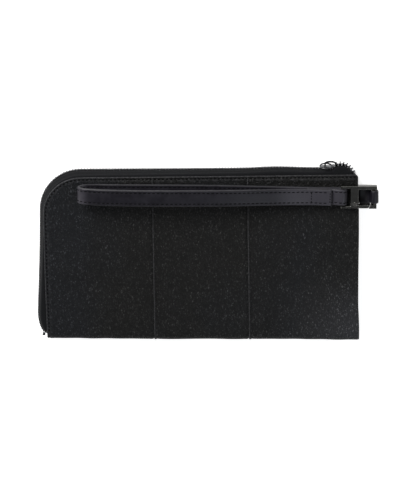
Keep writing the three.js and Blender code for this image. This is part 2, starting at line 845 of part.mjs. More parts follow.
function framePlate() {
  const corner = hookDepth / 4;
  const outline = new THREE.Shape();
  outline.moveTo(hookLeft, hookTop);
  outline.lineTo(hookRight - corner, hookTop);
  outline.quadraticCurveTo(hookRight, hookTop, hookRight, hookTop - corner);
  outline.lineTo(hookRight, hookTop - topBarWidth);
  outline.lineTo(plateRight, hookTop - topBarWidth);
  outline.lineTo(plateRight, hookBottom);
  outline.lineTo(hookLeft, hookBottom);
  outline.lineTo(hookLeft, hookBottom + eyeBottomArm);
  outline.lineTo(plateLeft, hookBottom + eyeBottomArm);
  outline.lineTo(plateLeft, hookTop - eyeTopArm);
  outline.lineTo(hookLeft, hookTop - eyeTopArm);
  outline.closePath();
  return raised(outline, hookLow, hookHigh, hookEdgeBevel);
}

function nose() {
  const outline = new THREE.Shape();
  outline.moveTo(noseLeft, hookBottom);
  outline.lineTo(noseRight, hookBottom);
  outline.lineTo(noseRight, hookBottom + noseWidth);
  outline.lineTo(noseLeft + noseSlant, hookBottom + noseWidth);
  outline.closePath();
  return raised(outline, hookLow, hookHigh, 0);
}

function crossBar(x, radius, lowY, highY) {
  return new THREE.CylinderGeometry(radius, radius, highY - lowY, 16)
    .translate(x, (lowY + highY) / 2, hookMiddle);
}

function pivotHole(radius) {
  return new THREE.CylinderGeometry(radius, radius, hookDepth + 2 * overrun, 16)
    .rotateX(Math.PI / 2)
    .translate(gatePivotX, gatePivotY, hookMiddle);
}

function hookFrame() {
  const eyeBar = crossBar(eyeBarX, eyeBarRadius, hookBottom + eyeBottomArm / 2, hookTop - eyeTopArm / 2);
  const endBar = crossBar(endBarX, endBarRadius, hookBottom + noseWidth / 2, hookTop - topBarWidth / 2);
  const slot = block(
    new THREE.Vector3(forkLeft, hookBottom - overrun, hookMiddle - gateTongue / 2 - forkGap),
    new THREE.Vector3(plateRight + overrun, forkTop, hookMiddle + gateTongue / 2 + forkGap));
  const frame = joined([framePlate(), nose(), eyeBar, endBar]);
  return geometryOf(frame.subtract(solidOf(slot)).subtract(solidOf(pivotHole(rivetRadius + rivetClearance))));
}

function gate() {
  const low = hookBottom + gateBottomInset;
  const high = low + gateWidth;
  const lowEnd = noseLeft - 2 * gateEndGap;
  const arm = new THREE.Shape();
  arm.moveTo(gateShoulderX, low);
  arm.lineTo(lowEnd, low);
  arm.lineTo(lowEnd + noseSlant, high);
  arm.lineTo(gateShoulderX, high);
  arm.closePath();
  const tail = new THREE.CylinderGeometry(gateTailRadius, gateTailRadius, gateTongue, 20)
    .rotateX(Math.PI / 2)
    .translate(gatePivotX, gatePivotY, hookMiddle);
  const tongue = block(
    new THREE.Vector3(gatePivotX, low, hookMiddle - gateTongue / 2),
    new THREE.Vector3(gateShoulderX + overrun, high, hookMiddle + gateTongue / 2));
  const solid = joined([raised(arm, hookLow, hookHigh, 0), tail, tongue]);
  return geometryOf(solid.subtract(solidOf(pivotHole(rivetRadius + rivetClearance))));
}

function rivet() {
  const profile = [
    [0, hookLow - rivetHeadHeight],
    [rivetHeadRadius, hookLow - rivetHeadHeight],
    [rivetHeadRadius, hookLow],
    [rivetRadius, hookLow],
    [rivetRadius, hookHigh],
    [rivetHeadRadius, hookHigh],
    [rivetHeadRadius, hookHigh + rivetHeadHeight],
    [0, hookHigh + rivetHeadHeight],
  ].map(([radius, height]) => new THREE.Vector2(radius, height));
  return new THREE.LatheGeometry(profile, 16).rotateX(Math.PI / 2).translate(gatePivotX, gatePivotY, 0);
}

// A bowed leaf between the roof of the fork and the gate's round tail
function gateSpring() {
  const high = forkTop - forkGap - springThickness / 2;
  const steps = 6;
  const start = forkLeft + forkGap;
  const end = plateRight - forkGap;
  const points = [];
  for (let step = 0; step <= steps; step++) {
    const share = step / steps;
    points.push(new THREE.Vector2(THREE.MathUtils.lerp(start, end, share),
      high - springBow * Math.sin(Math.PI * share)));
  }
  return ribbon(points, gateTongue, springThickness).rotateX(-Math.PI / 2).translate(0, 0, hookMiddle);
}

function addSnapHook() {
  addPiece('hook_frame', hookFrame(), darkMetal());
  addPiece('hook_gate', gate(), darkMetal());
  addPiece('gate_rivet', rivet(), darkMetal());
  addPiece('gate_spring', gateSpring(), darkMetal());
}

// Leather tab: sewn under the right panel, out round the hook's end bar and back on itself
function strapTab() {
  const wrapRadius = endBarRadius + tabWrapClearance + tabThickness / 2;
  const rootHeight = frontHeight(right, tabMiddleY) - leatherThickness - layerGap - tabThickness;
  const returnHeight = rootHeight + tabThickness + layerGap;
  const around = (angle) => new THREE.Vector2(
    endBarX + wrapRadius * Math.cos(angle), hookMiddle + wrapRadius * Math.sin(angle));
  const wrapIn = around(tabWrapStart);
  const wrapOut = around(tabWrapEnd);
  const inward = new THREE.Vector2(-Math.sin(tabWrapStart), Math.cos(tabWrapStart));
  const rise = new THREE.CubicBezierCurve(
    new THREE.Vector2(right + tabSideReach, rootHeight),
    new THREE.Vector2(right + tabSideReach + tabPull, rootHeight),
    wrapIn.clone().addScaledVector(inward, -tabPull),
    wrapIn);
  const back = new THREE.CubicBezierCurve(
    wrapOut,
    new THREE.Vector2(wrapOut.x, wrapOut.y - tabPull),
    new THREE.Vector2(right + tabReturnReach + tabPull, returnHeight),
    new THREE.Vector2(right + tabReturnReach, returnHeight));
  const points = [new THREE.Vector2(right - tabRootInset, rootHeight), ...rise.getPoints(tabBendSteps)];
  for (let step = 1; step < tabWrapSteps; step++) {
    points.push(around(THREE.MathUtils.lerp(tabWrapStart, tabWrapEnd, step / tabWrapSteps)));
  }
  points.push(...back.getPoints(tabBendSteps), new THREE.Vector2(right + tabReturnEnd, returnHeight));
  return ribbon(points, tabWidth, tabThickness).translate(0, tabMiddleY, 0);
}

// Wrist strap

// Height that clears the case and its seam lips under the whole width of the strap
function strapSupport(x) {
  const middleY = strapMiddleY + (x - eyeBarX) * Math.tan(strapTurn);
  const heights = [-1, 0, 1].map((side) => frontHeight(x, middleY + side * strapWidth / 2));
  return Math.max(...heights) + seamLipHeight + strapRestGap + strapThickness / 2;
}

// Shares of the run and of the rise along the loop's front, round its left bend and down its tail
const riseShares = [[0.16, 0.27], [0.34, 0.67], [0.47, 0.84], [0.62, 0.96], [0.78, 1], [0.92, 0.93]];
const bendShares = [[1, 0.8], [0, 0.5], [1, 0.18]];
const tailShares = [[0.35, 0.85], [0.65, 0.4], [0.95, 0.06], [1.2, 0]];

// From the sewn overlap over the standing loop to the left bend
function strapFront(seamX, loopX, seamHeight) {
  const run = seamX - loopX;
  const points = [
    [eyeBarX - strapSeamStart, seamHeight],
    [eyeBarX - (strapSeamStart + strapSeamEnd) / 2, seamHeight],
    [seamX, seamHeight],
  ];
  riseShares.forEach(([runShare, riseShare]) => {
    points.push([seamX - run * runShare, seamHeight + strapLoopRise * riseShare]);
  });
  return points;
}

// Round the left bend and back along the case to the eye
function strapRear(loopX, loopTop) {
  const loopFoot = strapSupport(loopX);
  const points = bendShares.map(([outShare, upShare]) => [
    loopX + strapThickness * outShare, THREE.MathUtils.lerp(loopFoot, loopTop, upShare)]);
  const rearX = loopX + strapRearEase;
  points.push([rearX, strapSupport(rearX) + strapRestGap]);
  evenRows(rearX, eyeBarX - strapSeamStart, strapRearSteps).slice(1)
    .forEach((x) => points.push([x, strapSupport(x)]));
  return points;
}

// Round the eye bar and down between the two runs
function strapTail(tailHeight) {
  const wrapRadius = eyeBarRadius + strapEyeClearance + strapThickness / 2;
  const points = [];
  for (let step = 0; step <= strapWrapSteps; step++) {
    const angle = THREE.MathUtils.lerp(-Math.PI / 2, Math.PI / 2, step / strapWrapSteps);
    points.push([eyeBarX + wrapRadius * Math.cos(angle), hookMiddle + wrapRadius * Math.sin(angle)]);
  }
  const tailFall = hookMiddle + wrapRadius - tailHeight;
  tailShares.forEach(([runShare, heightShare]) => {
    points.push([eyeBarX - strapSeamStart * runShare, tailHeight + tailFall * heightShare]);
  });
  points.push([eyeBarX - strapTailEnd, tailHeight]);
  return points;
}

function wristStrap() {
  const seamX = eyeBarX - strapSeamEnd;
  const loopX = eyeBarX - strapReach;
  const tailHeight = strapSupport(seamX) + strapThickness + strapLayerGap;
  const front = strapFront(seamX, loopX, tailHeight + strapThickness + strapLayerGap);
  const rear = strapRear(loopX, front[front.length - 1][1]);
  const points = [...front, ...rear, ...strapTail(tailHeight)];
  const curve = new THREE.CatmullRomCurve3(points.map(([x, z]) => new THREE.Vector3(x, z, 0)),
    false, 'centripetal');
  const samples = curve.getPoints(strapSpanSteps * (points.length - 1))
    .map(({ x, y }) => new THREE.Vector2(x - eyeBarX, y));
  return ribbon(samples, strapWidth, strapThickness);
}

function addStrap() {
  addPiece('strap_tab', strapTab(), grainedLeather());
  const strap = addPiece('wrist_strap', wristStrap(), smoothLeather());
  strap.position.set(eyeBarX, strapMiddleY, 0);
  strap.rotation.z = strapTurn;
}

// Folded gusset that closes the right side
function sideGusset() {
  const tabLow = tabMiddleY - tabWidth / 2 - gussetTabMargin;
  const tabHigh = tabMiddleY + tabWidth / 2 + gussetTabMargin;
  const lowY = foldLine + gussetBottomInset;
  const highY = top - gussetTopInset;
  const rows = [...evenRows(highY, tabHigh + layerGap, 1), tabHigh, tabLow,
    ...evenRows(tabLow - layerGap, lowY, 7)];
  const foldShares = [[0, 1], [0.55, 0.8], [1, 0.5], [0.55, 0.2], [0, 0]];
  const gridOf = (shift) => rows.map((y) => foldShares.map(([inShare, upShare]) => {
    const x = right - gussetEdgeInset - gussetDepth * inShare + shift;
    const underTab = y <= tabHigh && y >= tabLow;
    const drop = leatherThickness + layerGap + (underTab ? tabThickness * 1.5 + layerGap : 0);
    const high = frontHeight(right, y) - drop;
    const low = leatherThickness + layerGap;
    return new THREE.Vector3(x, y, THREE.MathUtils.lerp(low, high, upShare));
  }));
  return shellBetween(gridOf(0), gridOf(-gussetThickness));
}

addLeather();
addLinings();
addPockets();
addZipRows();
addSlider();
addSnapHook();
addStrap();
addPiece('side_gusset', sideGusset(), grainedLeather());

export default organizer;
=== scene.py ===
"""Looks of the travel document organizer: leather, cloth, zip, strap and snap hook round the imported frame.

Lengths are written in millimetres and turned to metres where a mesh is made.
"""
import json
import math

import bmesh
import bpy
import numpy as np
from mathutils import Matrix, Vector


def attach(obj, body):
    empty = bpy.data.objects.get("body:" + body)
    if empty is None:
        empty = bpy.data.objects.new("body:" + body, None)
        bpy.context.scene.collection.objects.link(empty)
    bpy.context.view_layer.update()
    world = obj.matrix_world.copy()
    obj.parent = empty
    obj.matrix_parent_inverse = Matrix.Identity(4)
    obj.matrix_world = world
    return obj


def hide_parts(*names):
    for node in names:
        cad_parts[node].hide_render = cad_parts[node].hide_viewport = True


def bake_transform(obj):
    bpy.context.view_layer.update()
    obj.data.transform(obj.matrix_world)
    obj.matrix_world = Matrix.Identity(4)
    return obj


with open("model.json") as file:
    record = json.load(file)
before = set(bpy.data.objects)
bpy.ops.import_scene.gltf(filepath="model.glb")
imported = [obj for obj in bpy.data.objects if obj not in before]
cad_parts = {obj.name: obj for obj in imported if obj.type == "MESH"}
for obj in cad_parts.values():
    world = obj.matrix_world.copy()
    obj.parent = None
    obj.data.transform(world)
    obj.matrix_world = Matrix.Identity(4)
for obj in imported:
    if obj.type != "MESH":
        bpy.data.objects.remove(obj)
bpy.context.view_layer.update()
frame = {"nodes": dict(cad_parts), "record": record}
bpy.context.scene.view_settings.view_transform = "Standard"

MM = 0.001

# Camera: millimetres that a pixel shows, lean towards the top edge, distance
PIXEL = 0.754
TILT = math.radians(19)
DISTANCE = 8000
VIEW_HEIGHT = 500 * PIXEL
TARGET = (7.0, 3.1, 8.0)
SENSOR = 36

# Floor and light
FLOOR_SIZE, FLOOR_DROP, FLOOR_PAINT = 6000, 0.05, 0.8
FLOOR_GLOW, ROOM_LIGHT, CEILING = 0.78, 0.27, 0.08
CEILING_FROM, CEILING_TO = 0.05, 0.52
KEY_LAMP = ((-700, 1050, 1050), 800, 30, (1.0, 0.99, 0.97))
FILL_LAMP = ((430, -340, 700), 300, 1.0, (0.88, 0.94, 1.0))

# Case
LEFT, RIGHT = -120.0, 120.0
TOP, BOTTOM = 67.0, -67.0
THICK_TOP_LEFT, THICK_TOP_RIGHT, THICK_BOTTOM = 20.5, 12.2, 15.0
CROWN = 1.2
INSET = 2.7
FOLD_RADIUS = 5.0
FOLD_LINE = BOTTOM + FOLD_RADIUS
QUARTER = FOLD_RADIUS * math.pi / 2
STRAIGHT = THICK_BOTTOM - 2 * FOLD_RADIUS
S_END = FOLD_LINE - (2 * QUARTER + STRAIGHT)
EDGE_DRIFT = 2.6
RIGHT_LEAN, RIGHT_PROUD, RIGHT_BULGE, RIGHT_EASE = 0.75, 0.1, 0.3, 0.5
BOTTOM_BOW_LEFT, BOTTOM_BOW_RIGHT = 0.75, 0.6
BACK_CORNER, FRONT_CORNER = 8.0, 2.4
LEATHER, LEATHER_ROUNDING = 1.4, 0.62
LEATHER_LEFT, LEATHER_TOP = LEFT + INSET, TOP - INSET
CHAIN_RADIUS = 31.0
CHAIN_SIDE = 1.0
CORNER_RADIUS = CHAIN_RADIUS - INSET
CORNER_X, CORNER_Y = LEATHER_LEFT + CORNER_RADIUS, LEATHER_TOP - CORNER_RADIUS
FINE = [0, 0.08, 0.2, 0.38, 0.6, 0.85, 1.15, 1.5, 1.9, 2.4, 3.0, 3.8]

# Seams and stitches: each seam's X at the top and at the bottom
LEFT_SEAM, RIGHT_SEAM = (-35.8, -33.8), (35.8, 37.7)
SEAM_REACH = 1.16
SEAM_GAP = 0.04
LIP_HEIGHT = 0.5
STITCH_INSET, STITCH_PITCH, PUCKER_INSET = 1.75, 3.0, 3.3
HEM_THREAD, HEM_SHARE = 1.05, 0.64
STITCH_SLANT = math.radians(6)
# Painted highlight on the puckers behind the stitches, on each front panel
PUCKER_HIGHLIGHT = {"left": 0.30, "middle": 0.42, "right": 0.48}
DRAPE_SIZE, DRAPE_HEIGHT = 26, 0.14

# Inside
LINING_TOP, LINING = 2.6, 0.5
LINING_INSET, LINING_RIGHT = 1.2, RIGHT - 11.5
POCKET_LEFT, POCKET_LOW, POCKET_RIGHT = LEATHER_LEFT + 9.5, FOLD_LINE + 6, LINING_RIGHT - 2.3
POCKET_CLOTH, POCKET_LIFT, POCKET_GAP = 0.7, 1.0, 0.3
PASSPORT_WIDTH, PASSPORT_HEIGHT, BOARDING_HEIGHT = 104, 96, 80
SLOT_LEFT, SLOT_TOP, SLOT_STEP, SLOT_HEIGHT, SLOT_LIFT = 120, TOP - 36.5, 12, 34, 1.0
GUSSET_DEPTH, GUSSET_SKIN, GUSSET_TUCK = 10.5, 1.1, 3.1
GUSSET_ROOM, GUSSET_UNDER_TAB, GUSSET_INSET = 1.7, 2.1, 0.8
GUSSET_FOLD = [(0, 1), (0.55, 0.8), (0.9, 0.62), (1, 0.5), (0.9, 0.38), (0.55, 0.2), (0, 0)]

# Zip
CHAIN_TOP_LEFT, CHAIN_TOP_RIGHT = 10.25, 5.2
CHAIN_START, CHAIN_BULGE, CHAIN_SWELL = (LEFT + 5.4, FOLD_LINE - 0.8), (LEFT - 0.8, FOLD_LINE + 16), 0.9
MOUTH_X = 103.4
TAPE, TAPE_DEPTH, TAPE_BEND, TAPE_STEP = 0.6, 1.7, 1.6, 1.2
LEAN_ROOM, LEAN_SHARE = 1.8, 0.45
FLANGE_END, FLANGE = 2.4, 6.0
BEAD_START, BEAD_HEIGHT, BEAD_GAP, CORD_WIDE, CORD_HIGH = 0.9, 0.7, 0.3, 0.5, 0.45
ROW_LIFT, ROW_LIFT_BACK, ROW_SETTLE = 2.5, 0.4, 0.3
ROW_START, ROW_LENGTH = 91.0, 8.4
TOOTH_PITCH, TOOTH_HALF, TOOTH_CHAMFER, FIRST_TOOTH = 2.3, 1.15, 0.12, 3.2
# Half of a tooth: leg on the cord, waist and rounded head, each along the chain and towards the other row
TOOTH_SIDE = [(-0.42, 0), (-0.42, 1.1), (-0.34, 1.5), (-0.5, 1.9), (-0.42, 2.25), (-0.2, 2.4)]
FAN = math.radians(54)

# Snap hook, tab and strap
HOOK_MIDDLE = 17.2
EYE_X, EYE_RADIUS = 108.1, 1.1
END_X, END_RADIUS = 132.0, 1.4
TAB_Y, TAB_WIDTH, TAB_THICK, TAB_SPREAD, TAB_GAP = 48.75, 10.0, 1.2, 2.7, 0.3
STRAP_WIDTH, STRAP_THICK = 12.6, 2.2
STRAP_TURN = math.radians(-1.44)
STRAP_Y = 48.9
STRAP_BOW = 0.7
STRAP_ROWS, STRAP_GROOVE = (0.5, 1.0, 1.6, 2.1, 2.6, 3.4), 0.16
STRAP_STITCH_INSET, STRAP_THREAD, STRAP_PITCH, CROSS_PITCH = 2.1, 0.75, 3.4, 2.0
SEAM_START, SEAM_END, TAIL_END, REACH = 8.8, 25.0, 27.0, 198.7
LOOP_RISE, REAR_EASE = 13.1, 7.7
REST_GAP, LAYER_GAP, EYE_CLEARANCE = 0.3, 0.3, 0.35


def lerp(a, b, t):
    return a + (b - a) * t


def smooth(x, a, b):
    t = np.clip((x - a) / (b - a), 0, 1)
    return t * t * (3 - 2 * t)


def unit(v):
    return v / np.maximum(np.linalg.norm(v, axis=-1, keepdims=True), 1e-12)


def ridge(d, place, width):
    """A smooth hump of height one at a place."""
    return np.exp(-((d - place) / width) ** 2)


def stack(*parts):
    return np.stack(np.broadcast_arrays(*[np.asarray(p, float) for p in parts]), axis=-1)


def shares(x, y):
    """Share of the way from left to right, and from the fold line to the top."""
    return (x - LEFT) / (RIGHT - LEFT), np.clip((y - FOLD_LINE) / (TOP - FOLD_LINE), 0, 1)


def front_height(x, y):
    along, up = shares(x, y)
    thick = lerp(THICK_TOP_LEFT, THICK_TOP_RIGHT, along)
    bow = np.maximum(0, 4 * along * (1 - along)) * 4 * up * (1 - up)
    return lerp(THICK_BOTTOM, thick, up) + CROWN * bow


def chain_height(x, y):
    along, up = shares(x, y)
    return lerp(THICK_BOTTOM / 2, lerp(CHAIN_TOP_LEFT, CHAIN_TOP_RIGHT, along), up)


def waves(x, y, size, seed, count=14):
    """Gentle irregular waves between about -1 and 1."""
    rng = np.random.default_rng(seed)
    total = 0
    for _ in range(count):
        angle = rng.uniform(0, 2 * math.pi)
        length = size * rng.uniform(0.6, 1.8)
        phase = rng.uniform(0, 2 * math.pi)
        run = x * math.cos(angle) + y * math.sin(angle)
        total = total + np.sin(run * 2 * math.pi / length + phase)
    return total / math.sqrt(count)


# Meshes

def add_mesh(name, points, faces, material, body=None):
    mesh = bpy.data.meshes.new(name)
    mesh.from_pydata((np.asarray(points) * MM).tolist(), [], [tuple(map(int, f)) for f in faces])
    mesh.update()
    mesh.polygons.foreach_set("use_smooth", [True] * len(mesh.polygons))
    mesh.materials.append(material)
    obj = bpy.data.objects.new(name, mesh)
    bpy.context.scene.collection.objects.link(obj)
    if body:
        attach(obj, body)
    return obj


def paint(obj, name, values):
    """Values kept on the points of a mesh: one number each, or three."""
    values = np.asarray(values, np.float32)
    kind, key = ("FLOAT", "value") if values.ndim == 1 else ("FLOAT_VECTOR", "vector")
    obj.data.attributes.new(name, kind, "POINT").data.foreach_set(key, values.ravel())


def quads(index):
    return np.stack([index[:-1, :-1], index[1:, :-1], index[1:, 1:], index[:-1, 1:]], -1).reshape(-1, 4)


def sheet_faces(rows, columns):
    """Faces of a closed sheet: an outer and an inner grid that share their border points."""
    outer = np.arange(rows * columns).reshape(rows, columns)
    inner = outer.copy()
    inner[1:-1, 1:-1] = rows * columns + np.arange((rows - 2) * (columns - 2)).reshape(rows - 2, columns - 2)
    return np.concatenate([quads(outer), quads(inner)[:, ::-1]])


def sheet(name, outer, inner, material, body=None, **painted):
    """A closed sheet between two grids. The border points of the inner grid are those of the outer one, and
    a painted value is a grid too."""
    rows, columns = outer.shape[:2]
    points = np.concatenate([outer.reshape(-1, 3), inner[1:-1, 1:-1].reshape(-1, 3)])
    faces = sheet_faces(rows, columns)
    r, s = rows // 2, columns // 2
    normal = np.cross(outer[r + 1, s] - outer[r, s], outer[r, s + 1] - outer[r, s])
    if np.dot(normal, outer[r, s] - inner[r, s]) < 0:
        faces = faces[:, ::-1]
    obj = add_mesh(name, points, faces, material, body)
    for key, grid in painted.items():
        tail = grid.shape[2:]
        paint(obj, key, np.concatenate([grid.reshape(-1, *tail), grid[1:-1, 1:-1].reshape(-1, *tail)]))
    return obj


def sweep(name, path, side, up, section, material, body=None, worn=None):
    """A closed tube: section points (across, up) at each path point. The paler wear and painted highlight has
    a value for each of them.
    """
    points = path[:, None] + side[:, None] * section[None, :, :1] + up[:, None] * section[None, :, 1:]
    rows, columns = points.shape[:2]
    index = np.arange(rows * columns).reshape(rows, columns)
    faces = [tuple(f) for f in quads(np.concatenate([index, index[:, :1]], 1))]
    faces += [tuple(index[0]), tuple(index[-1, ::-1])]
    obj = add_mesh(name, points.reshape(-1, 3), faces, material, body)
    fix_normals(obj)
    if worn is not None:
        paint(obj, "worn", np.tile(worn, rows))
    return obj


def fix_normals(obj):
    bm = bmesh.new()
    bm.from_mesh(obj.data)
    bmesh.ops.recalc_face_normals(bm, faces=bm.faces)
    bm.to_mesh(obj.data)
    bm.free()


def tube_faces(rings, n):
    """Faces of a closed tube of rings that have n points each."""
    faces = [(r * n + i, r * n + (i + 1) % n, (r + 1) * n + (i + 1) % n, (r + 1) * n + i)
             for r in range(rings - 1) for i in range(n)]
    return faces + [tuple(range(n))[::-1], tuple(range((rings - 1) * n, rings * n))]


def copies(name, template, faces, placements, material, body):
    """One mesh of many small parts: template points placed by (origin, x, y, z axes)."""
    count = len(template)
    all_points, all_faces = [], []
    for k, (origin, ax, ay, az) in enumerate(placements):
        basis = np.stack([ax, ay, az])
        all_points.append(np.asarray(origin) + template @ basis)
        all_faces.extend(tuple(i + k * count for i in f) for f in faces)
    obj = add_mesh(name, np.concatenate(all_points), all_faces, material, body)
    fix_normals(obj)
    return obj


def run_of(points):
    """Length run along a line at each of its points."""
    return np.concatenate([[0], np.cumsum(np.linalg.norm(np.diff(points, axis=0), axis=1))])


def follow(points, run, wanted):
    """Points of a line at wanted lengths along it."""
    return np.stack([np.interp(wanted, run, points[:, i]) for i in range(points.shape[1])], -1)


def resample(points, spacing):
    points = np.asarray(points, float)
    run = run_of(points)
    return follow(points, run, np.linspace(0, run[-1], max(2, int(round(run[-1] / spacing)) + 1)))


def tangents(points):
    return unit(np.gradient(np.asarray(points, float), axis=0))


def border(length, fine, coarse):
    """Positions from 0 to length that are close together near both ends."""
    ends = [d for d in fine if d < length / 2]
    middle = np.linspace(ends[-1], length - ends[-1], max(2, int((length - 2 * ends[-1]) / coarse) + 1))
    return np.concatenate([ends[:-1], middle, length - np.array(ends[:-1])[::-1]])


# Materials

class Nodes:
    """Short calls that add nodes to a tree."""

    def __init__(self, tree):
        self.tree = tree

    def node(self, kind, settings=None, **inputs):
        node = self.tree.nodes.new("ShaderNode" + kind)
        for key, value in (settings or {}).items():
            setattr(node, key, value)
        for key, value in inputs.items():
            numbered = key[0] == "i" and key[1:].isdigit()
            self.put(node.inputs[int(key[1:]) if numbered else key.replace("_", " ")], value)
        return node

    def put(self, socket, value):
        if isinstance(value, bpy.types.NodeSocket):
            self.tree.links.new(value, socket)
        else:
            socket.default_value = value

    def math(self, operation, a, b=0.0):
        return self.node("Math", {"operation": operation}, i0=a, i1=b).outputs[0]

    def range(self, value, low, high, to_low=0.0, to_high=1.0):
        """A value between low and high, turned smoothly to one between to_low and to_high."""
        return self.node("MapRange", {"interpolation_type": "SMOOTHSTEP"}, Value=value, From_Min=low,
                         From_Max=high, To_Min=to_low, To_Max=to_high).outputs[0]

    def rays(self, *names):
        """One where such a ray looks, zero for light that falls on the object."""
        path = self.node("LightPath")
        total = path.outputs[names[0]]
        for name in names[1:]:
            total = self.math("MAXIMUM", total, path.outputs[name])
        return total


class Shader(Nodes):
    """A material. Lengths inside are millimetres of the object's frame."""

    def __init__(self, name, **constants):
        self.material = bpy.data.materials.new(name)
        self.material.use_nodes = True
        super().__init__(self.material.node_tree)
        self.surface = self.tree.nodes["Principled BSDF"]
        for socket, value in constants.items():
            self.surface.inputs[socket.replace("_", " ")].default_value = value

    def place(self, stretch=(1, 1, 1)):
        """Place in the object's frame, in millimetres, with each axis stretched."""
        source = self.node("TexCoord").outputs["Object"]
        scale = tuple(1000 * k for k in stretch)
        return self.node("VectorMath", {"operation": "MULTIPLY"}, i0=source, i1=scale).outputs[0]

    def flow(self):
        """Along and across a strip, in millimetres, kept on its points."""
        return self.node("Attribute", {"attribute_name": "flow"}).outputs["Vector"]

    # Paler wear and painted highlight, kept on a mesh's points
    def worn(self):
        return self.node("Attribute", {"attribute_name": "worn"}).outputs["Fac"]

    def sheen_shares(self):
        """Shares that rise towards the front's left end and lower right corner, where a painted sheen makes
        the leather paler.
        """
        place = self.node("SeparateXYZ", None, Vector=self.place())
        left = self.range(place.outputs[0], -25.0, -115.0, 0.0, 0.34)
        corner = self.times(self.range(place.outputs[0], 50.0, 118.0),
                            self.range(place.outputs[1], 0.0, -64.0))
        return left, corner

    def times(self, a, b):
        return self.math("MULTIPLY", a, b)

    def sum(self, a, share_a, b, share_b):
        return self.math("ADD", self.times(a, share_a), self.times(b, share_b))

    def wave(self, place, direction, scale, distortion):
        return self.node("TexWave", {"wave_type": "BANDS", "bands_direction": direction}, Vector=place,
                         Scale=scale, Distortion=distortion).outputs["Fac"]

    def noise(self, place, size, detail, roughness=0.5):
        return self.node("TexNoise", None, Vector=place, Scale=1 / size, Detail=detail,
                         Roughness=roughness).outputs["Fac"]

    def shift(self, place, size, amount):
        """Places moved about by up to about an amount, so that a pattern looks grown and not drawn."""
        node = self.node("TexNoise", None, Vector=place, Scale=1 / size, Detail=2.0)
        moved = self.node("VectorMath", {"operation": "MULTIPLY_ADD"}, i0=node.outputs["Color"],
                          i1=(amount,) * 3, i2=(-amount / 2,) * 3)
        return self.node("VectorMath", {"operation": "ADD"}, i0=place, i1=moved.outputs[0]).outputs[0]

    def cells(self, place, size, feature="DISTANCE_TO_EDGE"):
        return self.node("TexVoronoi", {"feature": feature}, Vector=place, Scale=1 / size).outputs["Distance"]

    def mix(self, share, a, b):
        node = self.node("Mix", {"data_type": "RGBA"})
        colors = [socket for socket in node.inputs if socket.type == "RGBA"]
        self.put(node.inputs["Factor"], share)
        for socket, value in zip(colors, (a, b)):
            self.put(socket, value if isinstance(value, bpy.types.NodeSocket) else (*value, 1))
        return [socket for socket in node.outputs if socket.type == "RGBA"][0]

    def color(self, value):
        self.put(self.surface.inputs["Base Color"], value)

    def roughness(self, value):
        self.put(self.surface.inputs["Roughness"], value)

    def bump(self, *heights):
        """Bumps laid over each other: pairs of a height between 0 and 1 and its depth in millimetres."""
        normal = None
        for height, depth in heights:
            node = self.node("Bump", None, Height=height, Distance=depth * MM)
            if normal is not None:
                self.put(node.inputs["Normal"], normal)
            normal = node.outputs[0]
        self.put(self.surface.inputs["Normal"], normal)


def grained_leather():
    """Black calf: flat pebbles between furrows, shallow creases, a cool tint that comes and goes, and a
    painted sheen on pebble tops, at the left end and in the lower right corner.
    """
    m = Shader("grained_leather", Specular_IOR_Level=0.26, Sheen_Weight=0.01, Sheen_Roughness=0.4)
    place = m.place()
    grown = m.shift(m.place((1, 0.8, 1)), 5.0, 2.0)
    pebble = m.range(m.cells(grown, 1.7), 0.0, 0.30)
    small = m.range(m.cells(m.shift(place, 1.5, 0.5), 0.8), 0.0, 0.3)
    pores = m.noise(place, 0.35, 3.0)
    blotch = m.noise(m.shift(m.place((1, 0.5, 1)), 4.0, 1.5), 1.15, 2.0, 0.7)
    creases = m.noise(m.shift(m.place((1, 0.3, 1)), 9.0, 5.0), 3.8, 3.0, 0.6)
    drape = m.noise(m.place((1, 0.55, 1)), 34.0, 2.0)
    left, corner = m.sheen_shares()
    # A cool tint that comes and goes, made stronger towards the left end as a painted sheen
    cloud = m.noise(m.place((1, 0.6, 1)), 48.0, 2.0)
    cool_tint_and_sheen = m.range(m.math("ADD", cloud, left), 0.40, 0.95)
    # Painted sheen: the lower right corner is painted paler
    corner = m.times(corner, m.range(cloud, 0.3, 0.60, 0.35, 1.0))
    dye_and_sheen = m.mix(cool_tint_and_sheen, (0.0020, 0.0020, 0.0019), (0.0028, 0.0036, 0.0052))
    dye_and_sheen = m.mix(corner, dye_and_sheen, (0.0190, 0.0195, 0.0225))
    # Painted sheen: the pebble tops where the specks fall are painted much paler than the furrows, more so in
    # the lower right corner
    tip_sheen = m.mix(cool_tint_and_sheen, (0.0560, 0.0560, 0.0548), (0.0600, 0.0640, 0.0730))
    tip_sheen = m.mix(corner, tip_sheen, (0.1500, 0.1530, 0.1640))
    speck = m.times(m.range(blotch, 0.50, 0.64), m.range(creases, 0.38, 0.60, 0.45, 1.0))
    top = m.times(pebble, m.range(small, 0, 1, 0.5, 1.0))
    lit = m.mix(m.times(top, speck), dye_and_sheen, tip_sheen)
    # Paler borders, seam lips, puckers and stitch strip: wear with a painted highlight on the borders,
    # painted highlights on the lips and puckers, painted light on the stitch strip
    worn = m.times(m.worn(), m.range(m.noise(place, 1.6, 3.0), 0.35, 0.65, 0.35, 1.0))
    m.color(m.mix(worn, lit, (0.050, 0.050, 0.054)))
    m.roughness(m.range(m.sum(top, 0.6, blotch, 0.4), 0.1, 0.9, 0.70, 0.44))
    m.bump((drape, 0.9), (creases, 0.34), (pebble, 0.24), (small, 0.06), (pores, 0.02))
    return m.material


